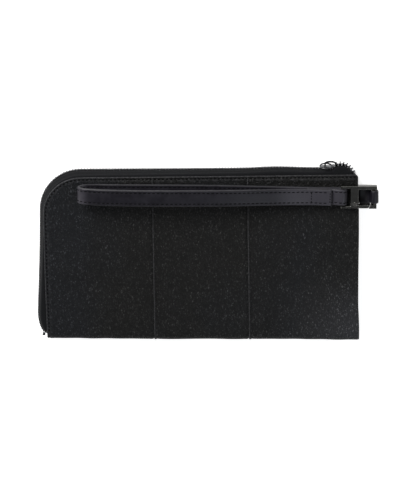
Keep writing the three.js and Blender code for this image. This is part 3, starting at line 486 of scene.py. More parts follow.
def smooth_leather():
    """Navy-black strap leather: smooth, waxed, with burnished edges, and a painted highlight that makes it
    paler at its bend and near the hook.
    """
    m = Shader("strap_leather", Specular_IOR_Level=0.36, Coat_Weight=0.06, Coat_Roughness=0.38)
    place = m.place()
    mottle = m.noise(m.shift(place, 8.0, 5.0), 6.0, 4.0, 0.6)
    pores = m.cells(m.shift(place, 0.9, 0.3), 0.55, "F1")
    hair = m.noise(m.place((0.25, 1, 1)), 0.8, 3.0)
    axes = m.node("SeparateXYZ", None, Vector=place)
    x = axes.outputs[0]
    # Painted highlights: paler where the strap runs down towards the hook and round its left bend
    clasp_highlight = m.times(m.range(x, 52.0, 74.0), m.range(x, 112.0, 106.0))
    bend = m.times(m.range(x, -82.5, -87.5), m.range(mottle, 0.35, 0.65, 0.55, 1.0))
    lightened = m.math("MAXIMUM", clasp_highlight, bend)
    dye_and_sheen = m.mix(m.range(mottle, 0.3, 0.7), (0.0060, 0.0054, 0.0088), (0.0096, 0.0088, 0.0136))
    dye_and_sheen = m.mix(lightened, dye_and_sheen, (0.0335, 0.0315, 0.0405))
    worn = m.times(m.worn(), m.range(m.noise(place, 1.6, 3.0), 0.3, 0.7, 0.6, 1.0))
    m.color(m.mix(worn, dye_and_sheen, (0.030, 0.0295, 0.034)))
    m.roughness(m.range(m.sum(mottle, 0.7, hair, 0.3), 0.3, 0.7, 0.36, 0.50))
    m.bump((mottle, 0.12), (m.range(pores, 0.0, 0.4), 0.02), (hair, 0.012))
    return m.material


def sewing_thread():
    m = Shader("thread", Specular_IOR_Level=0.12, Roughness=0.85)
    place = m.place()
    ply = m.wave(place, "DIAGONAL", 1.6, 0.6)
    fuzz = m.noise(place, 0.15, 2.0)
    lit = m.times(ply, m.range(fuzz, 0.3, 0.7, 0.5, 1.0))
    m.color(m.mix(lit, (0.0010, 0.0010, 0.0012), (0.0034, 0.0034, 0.0040)))
    m.bump((ply, 0.05), (fuzz, 0.02))
    return m.material


def twill_lining():
    m = Shader("lining", Specular_IOR_Level=0.2, Roughness=0.9, Sheen_Weight=0.15, Sheen_Roughness=0.5)
    place = m.shift(m.place(), 14.0, 0.5)
    ribs = m.wave(place, "DIAGONAL", 0.55, 0.15)
    yarn = m.wave(place, "Y", 0.8, 0.3)
    slub = m.noise(m.place((0.2, 1, 1)), 1.2, 3.0)
    weave = m.times(ribs, m.range(yarn, 0, 1, 0.5, 1.0))
    lit = m.times(weave, m.range(slub, 0.3, 0.7, 0.5, 1.0))
    m.color(m.mix(lit, (0.0085, 0.0090, 0.0120), (0.0250, 0.0265, 0.0330)))
    m.bump((weave, 0.12), (slub, 0.05))
    return m.material


def woven_tape():
    """Zip tape: fine ribs along the tape, crossed by the weft, with a herringbone turn at its middle."""
    m = Shader("zip_tape", Specular_IOR_Level=0.15, Roughness=0.85, Sheen_Weight=0.03, Sheen_Roughness=0.5)
    axes = m.node("SeparateXYZ", None, Vector=m.flow())
    along, across = axes.outputs[0], axes.outputs[1]
    folded = m.math("PINGPONG", across, 1.1)
    slant = m.math("ADD", along, folded)
    chevron = m.math("SINE", m.times(slant, 2 * math.pi / 0.75))
    rib = m.math("SINE", m.times(across, 2 * math.pi / 0.55))
    weave = m.range(m.math("ADD", chevron, m.times(rib, 0.5)), -1.5, 1.5)
    fuzz = m.noise(m.place(), 0.5, 3.0)
    lit = m.times(weave, m.range(fuzz, 0.3, 0.7, 0.6, 1.0))
    m.color(m.mix(lit, (0.0026, 0.0028, 0.0034), (0.0100, 0.0106, 0.0128)))
    m.bump((weave, 0.08), (fuzz, 0.03))
    return m.material


def gun_metal(name, dark, light, bevelled=True):
    """Plated and polished, with faint scratches, and a painted highlight that makes its edges lighter. A
    bevelled part says itself where its edges are."""
    m = Shader(name, Metallic=1.0, Specular_IOR_Level=0.5)
    place = m.place()
    cloud = m.noise(place, 7.0, 3.0, 0.6)
    scratch = m.noise(m.shift(m.place((0.12, 1.6, 1)), 3.0, 1.0), 0.35, 2.0)
    # Painted highlight on the edges: the bevels' marked points, or curvature where a part has no bevels
    edges = m.worn() if bevelled else m.range(m.node("NewGeometry").outputs["Pointiness"], 0.52, 0.60)
    edge_wear_and_highlight = m.times(edges, m.range(cloud, 0.3, 0.7, 0.5, 1.0))
    m.color(m.mix(edge_wear_and_highlight, m.mix(m.range(cloud, 0.3, 0.7), dark, tuple(1.12 * k for k in dark)), light))
    m.roughness(m.range(m.sum(cloud, 0.6, scratch, 0.4), 0.3, 0.7, 0.20, 0.28))
    m.bump((scratch, 0.006), (cloud, 0.02))
    return m.material


grain = grained_leather()
strap_skin = smooth_leather()
thread = sewing_thread()
lining = twill_lining()
tape_cloth = woven_tape()
metal = gun_metal("dark_metal", (0.162, 0.160, 0.151), (0.66, 0.65, 0.62))
bright_metal = gun_metal("bright_metal", (0.34, 0.33, 0.31), (0.6, 0.59, 0.57))
zip_metal = gun_metal("zip_metal", (0.060, 0.061, 0.066), (0.17, 0.172, 0.18), False)


# Camera

def add_camera():
    data = bpy.data.cameras.new("camera")
    data.sensor_fit = "VERTICAL"
    data.sensor_height = SENSOR
    data.lens = SENSOR * DISTANCE / VIEW_HEIGHT
    data.clip_end = 30
    camera = bpy.data.objects.new("camera", data)
    towards = Vector((0, math.sin(TILT), math.cos(TILT)))
    camera.location = (Vector(TARGET) + towards * DISTANCE) * MM
    upward = Vector((0, math.cos(TILT), -math.sin(TILT)))
    camera.rotation_euler = Matrix((Vector((1, 0, 0)), upward, towards)).transposed().to_euler()
    bpy.context.scene.collection.objects.link(camera)
    bpy.context.scene.camera = camera


# Floor and light

def add_floor():
    half = FLOOR_SIZE / 2
    corners = [(x * half, y * half, -FLOOR_DROP) for x, y in ((-1, -1), (1, -1), (1, 1), (-1, 1))]
    material = bpy.data.materials.new("floor")
    material.use_nodes = True
    m = Nodes(material.node_tree)
    m.tree.nodes.clear()
    diffuse = m.node("BsdfDiffuse", Color=(FLOOR_PAINT, FLOOR_PAINT, FLOOR_PAINT, 1)).outputs[0]
    glow = m.node("Emission", Strength=FLOOR_GLOW).outputs[0]
    lit = m.node("AddShader", i0=diffuse, i1=glow).outputs[0]
    seen = m.node("MixShader", i0=m.rays("Is Camera Ray"), i1=diffuse, i2=lit).outputs[0]
    white, mirrored = m.node("Emission").outputs[0], m.rays("Is Glossy Ray", "Is Transmission Ray")
    seen = m.node("MixShader", i0=mirrored, i1=seen, i2=white).outputs[0]
    m.node("OutputMaterial", Surface=seen)
    add_mesh("floor", corners, [(0, 1, 2, 3)], material)


def add_room():
    """A white room with a dimmer ceiling: reflections darken from the horizon up."""
    world = bpy.data.worlds.new("studio")
    bpy.context.scene.world = world
    world.use_nodes = True
    m = Nodes(world.node_tree)
    background = m.tree.nodes["Background"]
    background.inputs["Color"].default_value = (1, 1, 1, 1)
    axes = m.node("SeparateXYZ", Vector=m.node("TexCoord").outputs["Generated"])
    ceiling = m.range(axes.outputs["Z"], CEILING_FROM, CEILING_TO, 1.0, CEILING)
    seen = m.node("Mix", i0=m.rays("Is Camera Ray"), i2=ceiling, i3=1.0).outputs[0]
    looking = m.rays("Is Camera Ray", "Is Glossy Ray", "Is Transmission Ray")
    m.put(background.inputs["Strength"], m.node("Mix", i0=looking, i2=ROOM_LIGHT, i3=seen).outputs[0])


def add_lamp(name, place, size, power, color):
    data = bpy.data.lights.new(name, "AREA")
    data.size = size * MM
    data.energy = power
    data.color = color
    lamp = bpy.data.objects.new(name, data)
    lamp.location = Vector(place) * MM
    lamp.rotation_euler = Vector(place).to_track_quat("Z", "Y").to_euler()
    bpy.context.scene.collection.objects.link(lamp)


# Leather shell

def rise(x, y):
    """How far the bottom border bows up at its left end and down at its right end."""
    near = 1 - smooth(y, FOLD_LINE, FOLD_LINE + 40)
    return near * (BOTTOM_BOW_LEFT * (1 - smooth(x, LEFT, -15)) - BOTTOM_BOW_RIGHT * smooth(x, 60, 118))


def fold_turns(s):
    """Flat length past the fold line, and the angles turned in the two quarters of the bottom fold."""
    past = FOLD_LINE - s
    return (past, np.clip(past / FOLD_RADIUS, 0, math.pi / 2),
            np.clip((past - QUARTER - STRAIGHT) / FOLD_RADIUS, 0, math.pi / 2))


def folded_y(s):
    past, a, b = fold_turns(s)
    return np.where(past > 0, FOLD_LINE - FOLD_RADIUS * np.sin(a) + FOLD_RADIUS * (1 - np.cos(b)), s)


def skin(x, s):
    """Outer face of the front leather at flat place (x, s), and its normal. Below the fold line s goes on
    round the bottom fold to the back."""
    x, s = np.broadcast_arrays(np.asarray(x, float), np.asarray(s, float))
    y = np.maximum(s, FOLD_LINE)
    step = 0.5
    slope_x = (front_height(x + step, y) - front_height(x - step, y)) / (2 * step)
    slope_y = (front_height(x, y + step) - front_height(x, y)) / step
    blend = smooth(y, FOLD_LINE, FOLD_LINE + 6)
    past, a, b = fold_turns(s)
    flat = np.clip(past - QUARTER, 0, STRAIGHT)
    folded = past > 0
    place_y = folded_y(s)
    folded_z = THICK_BOTTOM - FOLD_RADIUS * (1 - np.cos(a)) - flat - FOLD_RADIUS * np.sin(b)
    normal = np.where(folded[..., None], stack(0, -np.sin(a + b), np.cos(a + b)),
                      unit(stack(-slope_x * blend, -slope_y * blend, np.ones_like(x))))
    return stack(x, place_y + rise(x, place_y), np.where(folded, folded_z, front_height(x, y))), normal


def drift(y):
    """How far the left edge has drifted in towards the fold."""
    return EDGE_DRIFT * np.clip((CORNER_Y - y) / (CORNER_Y - BOTTOM), 0, 1) ** 1.5


def left_edge(s):
    """Left edge of the leather at flat place s."""
    up = np.clip(s - CORNER_Y, 0, CORNER_RADIUS)
    arc = CORNER_X - np.sqrt(CORNER_RADIUS ** 2 - up ** 2)
    return np.where(s > CORNER_Y, arc, LEATHER_LEFT + drift(folded_y(s)))


def right_edge(s):
    """Right edge of the leather at flat place s: it leans out a little towards the fold."""
    y = folded_y(s)
    return (RIGHT + RIGHT_PROUD - RIGHT_EASE * smooth(y, 42, 58) + RIGHT_BULGE * ridge(y, 20, 22)
            + RIGHT_LEAN * (1 - smooth(y, BOTTOM + 9, BOTTOM + 31)))


def seam_at(ends, s):
    return lerp(*ends, np.clip((LEATHER_TOP - s) / (LEATHER_TOP - BOTTOM), 0, SEAM_REACH))


def left_seam(s):
    return seam_at(LEFT_SEAM, s)


def right_seam(s):
    return seam_at(RIGHT_SEAM, s)


def corner_distance(x, s):
    """Distance in from the left and top edges with their round corner."""
    straight = np.minimum(x - left_edge(np.minimum(s, CORNER_Y)), LEATHER_TOP - s)
    in_corner = (x < CORNER_X) & (s > CORNER_Y)
    return np.where(in_corner, CORNER_RADIUS - np.hypot(x - CORNER_X, s - CORNER_Y), straight)


def arc(x, y, radius, first, last, count):
    angles = np.linspace(first, last, count)
    return np.stack([x + radius * np.cos(angles), y + radius * np.sin(angles)], 1)


def corner_arc(first, last, count, inset=0.0):
    """Points on the round top left corner of the leather, or at an inset from it, between two angles."""
    return arc(CORNER_X, CORNER_Y, CORNER_RADIUS - inset, first, last, count)


def edge_line(edge, rows, shift=0.0):
    """Flat line along an edge or a seam, moved to the right by a shift."""
    return np.stack([edge(rows) + shift, rows], 1)


def level_line(xs, s):
    return np.stack([xs, np.full(len(xs), s)], 1)


def outline_left(low):
    """Flat left border with the first half of the round corner, from low to the middle of the corner."""
    return np.concatenate([edge_line(left_edge, np.linspace(low, CORNER_Y, 300)),
                           corner_arc(math.pi, 0.75 * math.pi, 60)[1:]])


def outline_top(end_x):
    return np.concatenate([corner_arc(0.75 * math.pi, 0.5 * math.pi, 60),
                           level_line(np.linspace(CORNER_X, end_x, 200)[1:], LEATHER_TOP)])


def rounded(low, start_x, radius):
    """Right and top borders that meet in a round corner: the right one runs up, the top one to the right from
    start_x, or round the top left corner if that is None."""
    centre = float(right_edge(LEATHER_TOP)) - radius, LEATHER_TOP - radius
    lower, upper = (arc(*centre, radius, first, math.pi / 4, 40)[1:] for first in (0, math.pi / 2))
    if start_x is None:
        run = outline_top(centre[0])
    else:
        run = level_line(np.linspace(start_x, centre[0], 200), LEATHER_TOP)
    right = edge_line(right_edge, np.linspace(low, centre[1], 300))
    return np.concatenate([right, lower]), np.concatenate([run, upper])


def right_distance(x, s, radius):
    """Distance in from the right and top edges with their round corner."""
    edge = right_edge(s)
    near = (x > edge - radius) & (s > LEATHER_TOP - radius)
    return np.where(near, radius - np.hypot(x - edge + radius, s - LEATHER_TOP + radius),
                    np.minimum(edge - x, LEATHER_TOP - s))


def along(points, wanted):
    run = run_of(points)
    return follow(points, run / run[-1], wanted)


def patch(left, right, bottom, top, coarse=1.1):
    """Grid of flat places between four borders. Left and right run up, bottom and top run right."""
    height, width = run_of(right)[-1], run_of(bottom)[-1]
    v, u = border(height, FINE, coarse) / height, border(width, FINE, coarse) / width
    left, right = along(left, v)[:, None], along(right, v)[:, None]
    bottom, top = along(bottom, u)[None], along(top, u)[None]
    u, v = u[None, :, None], v[:, None, None]
    corners = ((1 - u) * (1 - v) * left[0, 0] + u * (1 - v) * right[0, 0]
               + (1 - u) * v * left[-1, 0] + u * v * right[-1, 0])
    grid = (1 - u) * left + u * right + (1 - v) * bottom + v * top - corners
    return grid[..., 0], grid[..., 1]


def line(a, b, count=200):
    return np.linspace(a, b, count)


def roll(d, radius):
    t = np.clip(d / radius, 0, 1)
    return np.sqrt(np.maximum(0, 1 - (1 - t) ** 2))


def rounded_sheet(name, point, normal, edge, thickness, radius, material, body, lift=0.0, **painted):
    """A sheet whose border is rounded: edge is the distance from the border, lift what stands proud."""
    half = thickness / 2
    round_off = roll(edge, radius)
    round_off[0, :] = round_off[-1, :] = round_off[:, 0] = round_off[:, -1] = 0
    middle = point - normal * half
    outer = middle + normal * (round_off * (half + lift) + (1 - round_off) * lift * 0.5)[..., None]
    inner = middle - normal * (round_off * half - (1 - round_off) * lift * 0.5)[..., None]
    return sheet(name, outer, inner, material, body, **painted)


def leather_sheet(name, face, edge, lift, worn, body=None):
    return rounded_sheet(name, *face, edge, LEATHER, LEATHER_ROUNDING, grain, body, lift, worn=worn)


def edge_wear_and_highlight(d):
    """Wear and a painted highlight on a border."""
    return ridge(d, -0.1, 0.6)


def puckers(d, places):
    """Small folds behind a row of stitches."""
    return (0.5 + 0.5 * waves(places, d, 3.4, 7, 8)) * ridge(d, PUCKER_INSET, 0.9)


# Painted highlight on the raised seam lip, with the border's wear and painted highlight
def lip_highlight_and_edge_wear(d_seam, d_edge):
    return np.maximum(0.8 * edge_wear_and_highlight(d_seam - 0.3), edge_wear_and_highlight(d_edge))


def sewn_wear_and_highlights(panel, lightened, d, places):
    """Border wear and painted highlights, with a painted highlight on the puckers behind the stitches, and
    painted light on the strip that the stitches run in, which is a little paler than the black thread."""
    return lightened + PUCKER_HIGHLIGHT[panel] * puckers(d, places) + 0.16 * ridge(d, STITCH_INSET, 1.0)


def lip(d):
    """Raised lip on the right of a sewn seam, by distance from it."""
    return LIP_HEIGHT * ridge(np.maximum(d - 0.75, 0), 0, 0.55) - 0.12 * ridge(d, 2.3, 0.5)


def tuck(d):
    """Leather on the left of a seam: it dives under the lip."""
    return -0.25 * ridge(d, 0, 0.9) + 0.15 * ridge(d, 2.2, 0.8)


def hem(d, places):
    """Sewn border: pulled down along the stitches, proud again behind them, where it puckers."""
    return (-0.26 * ridge(d, STITCH_INSET, 0.6) + 0.12 * ridge(d, PUCKER_INSET, 0.9)
            + 0.16 * puckers(d, places))


def bend_at_fold(obj):
    """Bakes the leather's placement into its points."""
    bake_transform(obj)


def front_panel(name, seed, x, s, d_seam, d_edge, lift, worn):
    """One front panel, rolled in twice as fast at its seams as at its borders, with a little drape."""
    edge = np.minimum(np.minimum(2 * d_seam, d_edge), s - S_END)
    lift = lift + DRAPE_HEIGHT * waves(x, s, DRAPE_SIZE, seed) * smooth(edge, 1, 12)
    obj = leather_sheet("leather_front_" + name, skin(x, s), edge, lift, worn)
    bend_at_fold(obj)
    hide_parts("front_panel_" + name)


def front_panels():
    rows = np.linspace(S_END, LEATHER_TOP, 400)
    half = SEAM_GAP / 2

    def level(first, last, s):
        return line((float(first), s), (float(last), s))

    low, high = left_seam(S_END), left_seam(LEATHER_TOP)
    x, s = patch(outline_left(S_END), edge_line(left_seam, rows, -half),
                 level(left_edge(np.array(S_END)), low - half, S_END), outline_top(float(high - half)))
    d_seam, d_edge = left_seam(s) - half - x, corner_distance(x, s)
    front_panel("left", 1, x, s, d_seam, d_edge, tuck(d_seam) + hem(d_edge, x + s),
                sewn_wear_and_highlights("left", edge_wear_and_highlight(d_edge), d_edge, x + s))

    right_low, right_high = right_seam(S_END), right_seam(LEATHER_TOP)
    x, s = patch(edge_line(left_seam, rows, half), edge_line(right_seam, rows, -half),
                 level(low + half, right_low - half, S_END),
                 level(high + half, right_high - half, LEATHER_TOP))
    d_left, d_right, d_edge = x - left_seam(s) - half, right_seam(s) - half - x, LEATHER_TOP - s
    front_panel("middle", 2, x, s, np.minimum(d_left, d_right), d_edge,
                lip(d_left) + tuck(d_right) + hem(d_edge, x + s),
                sewn_wear_and_highlights("middle", lip_highlight_and_edge_wear(d_left, d_edge), d_edge, x + s))

    right, top = rounded(S_END, float(right_high + half), FRONT_CORNER)
    x, s = patch(edge_line(right_seam, rows, half), right,
                 level(right_low + half, right_edge(S_END), S_END), top)
    d_seam, d_edge = x - right_seam(s) - half, right_distance(x, s, FRONT_CORNER)
    d_top, d_right = LEATHER_TOP - s, right_edge(s) - x
    lift = lip(d_seam) + hem(d_top, x + s) * smooth(d_right, 0, 3) - 0.25 * (1 - smooth(d_right, 0, 1.6))
    front_panel("right", 3, x, s, d_seam, d_edge, lift,
                sewn_wear_and_highlights("right", lip_highlight_and_edge_wear(d_seam, d_edge), d_top, x + s))


def seam_allowance(name, seam):
    """The turned-in leather that closes a seam from below."""
    rows = np.linspace(S_END, LEATHER_TOP - 0.5, 300)
    point, normal = skin(seam(rows), rows)
    side = unit(np.cross(tangents(point), normal))
    section = np.array([(-0.9, -0.3), (-0.9, 0.15), (-0.4, 0.25), (0.4, 0.25), (0.9, 0.15), (0.9, -0.3)])
    bend_at_fold(sweep(name, point - 0.55 * normal, side, normal, section, grain))


# Stitches

def stitches(name, path, normal, pitch, body, width=0.5, share=0.78, sunk=0.55):
    """A row of sewn stitches along a path: short rounds of thread whose ends dip into the leather."""
    run = run_of(path)
    count = int(run[-1] / pitch)
    wanted = (np.arange(count) + 0.5) * run[-1] / count
    origin, up, ahead = (follow(values, run, wanted) for values in (path, normal, tangents(path)))
    up, ahead = unit(up), unit(ahead)
    side = unit(np.cross(up, ahead))
    c, s = math.cos(STITCH_SLANT), math.sin(STITCH_SLANT)
    ahead, side = ahead * c + side * s, side * c - ahead * s
    ring = np.linspace(0, 2 * math.pi, 9)[:-1]
    half = pitch * share / 2
    template = []
    for u in (-1, -0.85, -0.55, 0, 0.55, 0.85, 1):
        r = width / 2 * (1 - 0.45 * u ** 4)
        template += [(u * half, r * math.cos(a), 0.8 * r * math.sin(a) - sunk * u ** 4) for a in ring]
    placements = list(zip(origin, ahead, side, up))
    return copies(name, np.array(template), tube_faces(7, len(ring)), placements, thread, body)


def hem_line(inset, low, end_x):
    """Flat line that follows the left and top edges of the leather at an inset."""
    return np.concatenate([edge_line(left_edge, np.linspace(low, CORNER_Y, 200), inset),
                           corner_arc(math.pi, math.pi / 2, 120, inset)[1:],
                           level_line(np.linspace(CORNER_X, end_x, 400)[1:], LEATHER_TOP - inset)])


def hem_stitches():
    flat = hem_line(STITCH_INSET, FOLD_LINE + 1.0, RIGHT - 1.5)
    point, normal = skin(flat[:, 0], flat[:, 1])
    stitches("stitches_front", point - 0.10 * normal, normal, STITCH_PITCH, "front_cover", HEM_THREAD,
             HEM_SHARE)
    back = np.column_stack([flat, np.full(len(flat), 0.16)])
    stitches("stitches_back", back, np.tile([0, 0, -1.0], (len(flat), 1)), STITCH_PITCH, "root")


def back_face(x, y):
    return stack(x, y + rise(x, y), 0), stack(0 * x, 0, -1)


def back_panel():
    low = FOLD_LINE + 0.3
    right, top = rounded(low, None, BACK_CORNER)
    start = (float(left_edge(np.array(low))), low)
    x, s = patch(outline_left(low), right, line(start, (float(right_edge(low)), low)), top, 2.5)
    d = np.minimum(np.minimum(corner_distance(x, s), right_distance(x, s, BACK_CORNER)), s - low)
    obj = leather_sheet("leather_back", back_face(x, s), d, np.minimum(hem(d, x + s), 0), edge_wear_and_highlight(d), "root")
    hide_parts("back_panel")


# Linings and pockets

def cloth_sheet(name, node, body, x, y, height, thickness, edge):
    """A flat piece of lining whose upper face is at a height."""
    obj = rounded_sheet(name, stack(x, y, height), stack(0 * x, 0, 1), edge, thickness, thickness / 2, lining,
                        body)
    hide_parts(node)


def linings():
    inset, centre = LINING_INSET, CORNER_RADIUS - LINING_INSET
    ys = FOLD_LINE + border(LEATHER_TOP - inset - FOLD_LINE, [0, 0.1, 0.3, 0.8], 2.0)
    up = np.clip(ys - CORNER_Y, 0, centre)
    left = np.where(ys > CORNER_Y, CORNER_X - np.sqrt(centre ** 2 - up ** 2),
                    LEATHER_LEFT + inset + drift(ys))
    across = np.concatenate([[0, 0.002], np.linspace(0.01, 0.99, 60), [0.998, 1]])
    x = left[:, None] + (LINING_RIGHT - left[:, None]) * across[None]
    y = np.repeat(ys[:, None], x.shape[1], 1)
    d = np.full_like(x, 1.0)
    cloth_sheet("lining_back", "back_lining", "root", x, y, LINING_TOP + LINING, LINING, d)
    cloth_sheet("lining_front", "front_lining", "front_cover", x, y, front_height(x, y) - LINING_TOP,
                LINING, d)


def rectangle(x0, x1, y0, y1):
    """Grid of a rectangle, distance in from its border, and a share that rises from its sewn sides."""
    fine = [0, 0.05, 0.12, 0.25, 0.5, 1.0]
    x, y = np.meshgrid(x0 + border(x1 - x0, fine, 3.0), y0 + border(y1 - y0, fine, 3.0))
    sewn = np.minimum(np.minimum(x - x0, x1 - x), y - y0)
    return x, y, np.minimum(sewn, y1 - y), POCKET_LIFT * smooth(sewn, 1, 4)


def pockets():
    left, low, right = POCKET_LEFT, POCKET_LOW, POCKET_RIGHT
    depth = LINING_TOP + LINING + POCKET_GAP
    x, y, d, swell = rectangle(left, left + PASSPORT_WIDTH, low, low + PASSPORT_HEIGHT)
    cloth_sheet("pocket_passport", "passport_pocket", "root", x, y, depth + POCKET_CLOTH + swell,
                POCKET_CLOTH, d)
    x, y, d, swell = rectangle(left, right, low, low + BOARDING_HEIGHT)
    cloth_sheet("pocket_boarding_pass", "boarding_pass_pocket", "front_cover", x, y,
                front_height(x, y) - depth - swell, POCKET_CLOTH, d)
    for slot in range(4):
        high = SLOT_TOP - slot * SLOT_STEP
        x, y, d, _ = rectangle(left + SLOT_LEFT, right, high - SLOT_HEIGHT, high)
        cloth_sheet(f"slot_{slot + 1}", f"card_slot_{slot + 1}", "root", x, y,
                    depth + slot * SLOT_LIFT + POCKET_CLOTH, POCKET_CLOTH, d)


# Zip

def bezier(points, count):
    t = np.linspace(0, 1, count)[:, None]
    p = np.asarray(points, float)[:, None, :]
    while len(p) > 1:
        p = p[:-1] * (1 - t) + p[1:] * t
    return p[0]


def chain_points():
    start_x, start_y = CHAIN_START
    bulge_x, bulge_y = CHAIN_BULGE
    side_x, corner_x, corner_y = LEFT + CHAIN_SIDE, LEFT + CHAIN_RADIUS, TOP - CHAIN_RADIUS
    foot = bezier([CHAIN_START, (start_x - 3.6, start_y + 1.2), (bulge_x, bulge_y - 8), CHAIN_BULGE], 120)
    side = bezier([CHAIN_BULGE, (bulge_x, bulge_y + 12), (side_x, corner_y - 44), (side_x, corner_y)], 400)
    angles = np.linspace(math.pi, math.pi / 2, 300)[1:]
    corner = np.stack([corner_x + (corner_x - side_x) * np.cos(angles),
                       corner_y + CHAIN_RADIUS * np.sin(angles)], 1)
    run = line((corner_x, TOP), (MOUTH_X - 3, TOP), 800)[1:]
    run[:, 1] += CHAIN_SWELL * ridge(run[:, 0], 58, 17)
    mouth = bezier([(MOUTH_X - 3, TOP), (MOUTH_X + 0.6, TOP + 4.8), (RIGHT - 7.3, TOP + 4.6),
                    (RIGHT - 3.8, TOP - 6)], 80)
    return np.concatenate([foot, side[1:], corner, run, mouth[1:]])


CHAIN = chain_points()
CHAIN_RUN = run_of(CHAIN)
CHAIN_LENGTH = CHAIN_RUN[-1]


def station(distance, is_front):
    """Place, direction, outward direction, mid height and parting of the chain at distances along it."""
    place, ahead, behind = (follow(CHAIN, CHAIN_RUN, np.clip(distance + step, 0, CHAIN_LENGTH))
                            for step in (0, 0.15, -0.15))
    direction = unit(ahead - behind)
    outward = np.stack([-direction[..., 1], direction[..., 0]], -1)
    x, y = place[..., 0], place[..., 1]
    begin = ROW_START if is_front else MOUTH_X
    reach = smooth(x, begin, begin + ROW_LENGTH)
    settle = 1 - ROW_SETTLE * smooth(x, MOUTH_X, RIGHT - 3.6)
    most = ROW_LIFT if is_front else ROW_LIFT_BACK
    lift = np.where((y < TOP - CHAIN_RADIUS) & (x < 0), 0, reach * settle * most)
    return place, direction, outward, chain_height(x, y), lift


def flange(distance):
    start = smooth(distance, 0, 16)
    end = smooth(CHAIN_LENGTH - distance, 0, 12)
    return lerp(FLANGE_END, FLANGE, np.minimum(start, end))


def tape(is_front, name, node, body):
    sign = 1 if is_front else -1
    ends = np.array([0, 0.1, 0.3])
    distance = np.concatenate([ends, np.linspace(0.8, CHAIN_LENGTH - 0.8, int(CHAIN_LENGTH / TAPE_STEP)),
                               CHAIN_LENGTH - ends[::-1]])
    place, _, outward, middle, lift = station(distance, is_front)

    def spots(out):
        return place + outward * np.broadcast_to(out, distance.shape)[:, None]

    def face_depth(out, depth):
        return front_height(*spots(out).T) - depth if is_front else np.full(len(distance), float(depth))

    def push(out, height, inner_out, inner_height):
        for lines, a, b in ((outer, out, height), (inner, inner_out, inner_height)):
            lines.append(np.concatenate([spots(a), np.broadcast_to(b, distance.shape)[:, None]], 1))
    outer, inner = [], []
    bead_end = middle + sign * (BEAD_START + BEAD_HEIGHT + BEAD_GAP + lift)
    face = face_depth(-TAPE_BEND, TAPE_DEPTH)
    room = np.abs(face - bead_end) - BEAD_GAP
    radius = np.minimum(TAPE_BEND, np.maximum(room, 2 * TAPE))
    lean = LEAN_SHARE * np.maximum(0, room - LEAN_ROOM)
    centre_out, centre_height = TAPE / 2 - radius - lean, face - sign * radius
    # The flange, from its free edge to the bend
    for share, full in ((0, 0), (0.01, 0.7), (0.05, 1), (0.5, 1), (0.95, 1)):
        out = lerp(-INSET - flange(distance), centre_out, share)
        height, half = face_depth(out, TAPE_DEPTH + TAPE / 2), sign * TAPE / 2 * full
        push(out, height + half, out, height - half)
    # The bend, and the wall up to the teeth
    for step in range(1, 9):
        c, s = math.cos(math.pi / 2 * step / 8), math.sin(math.pi / 2 * step / 8)
        push(centre_out + radius * s, centre_height + sign * radius * c,
             centre_out + (radius - TAPE) * s, centre_height + sign * (radius - TAPE) * c)
    for share in (0.33, 0.66, 0.95):
        height, leaned = lerp(centre_height, bead_end, share), lean * (1 - share)
        push(TAPE / 2 - leaned, height, -TAPE / 2 - leaned, height)
    push(0, bead_end, 0, bead_end)
    outer, inner = np.stack(outer, 1), np.stack(inner, 1)
    for end in (0, -1):
        outer[end] = inner[end] = (outer[end] + inner[end]) / 2
    steps = np.linalg.norm(np.diff(outer, axis=1), axis=2)
    across = np.concatenate([np.zeros((len(distance), 1)), np.cumsum(steps, 1)], 1)
    flow = stack(distance[:, None], across - across[:, -1:], 0)
    obj = sheet(name, outer, inner, tape_cloth, body, flow=flow)
    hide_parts(node)


def teeth(is_front, name, node, body):
    sign = 1 if is_front else -1
    profile = TOOTH_SIDE + [(-x, z) for x, z in TOOTH_SIDE[::-1]]
    inner_y = TOOTH_HALF - TOOTH_CHAMFER
    template = []
    for y, k in ((-TOOTH_HALF, 0.75), (-inner_y, 1), (inner_y, 1), (TOOTH_HALF, 0.75)):
        template += [(px * k, y, lerp(1.2, pz, 0.9 + 0.1 * k) if k < 1 else pz) for px, pz in profile]
    offset = FIRST_TOOTH + (0 if is_front else TOOTH_PITCH / 2)
    distance = np.arange(offset, CHAIN_LENGTH - 1.0, TOOTH_PITCH)
    place, direction, outward, middle, lift = station(distance, is_front)
    placements = []
    fanned = FAN * smooth(place[:, 0], MOUTH_X - 4.5, MOUTH_X - 0.5)
    for k in range(len(distance)):
        base = middle[k] + sign * (BEAD_START + BEAD_HEIGHT + lift[k])
        out, down = np.array([*outward[k], 0]), np.array([0, 0, -sign])
        c, s = math.cos(fanned[k]), math.sin(fanned[k])
        placements.append(((*place[k], base), (*direction[k], 0), c * out - s * down, c * down + s * out))
    obj = copies(name, np.array(template), tube_faces(4, len(profile)), placements, zip_metal, body)
    # The cord that the teeth are clamped on
    distance = np.linspace(0, CHAIN_LENGTH, 500)
    place, _, outward, middle, lift = station(distance, is_front)
    centre = middle + sign * (BEAD_START + BEAD_HEIGHT / 2 + 0.15 + lift)
    path = np.concatenate([place, centre[:, None]], 1)
    out3 = np.concatenate([outward, np.zeros((len(distance), 1))], 1)
    up3 = np.tile([0, 0, 1.0], (len(distance), 1))
    ring = np.linspace(0, 2 * math.pi, 11)[:-1]
    section = np.stack([np.cos(ring) * CORD_WIDE, np.sin(ring) * CORD_HIGH], 1)
    cord = sweep(name + "_cord", path, out3, up3, section, tape_cloth, body)
    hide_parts(node)


# Strap

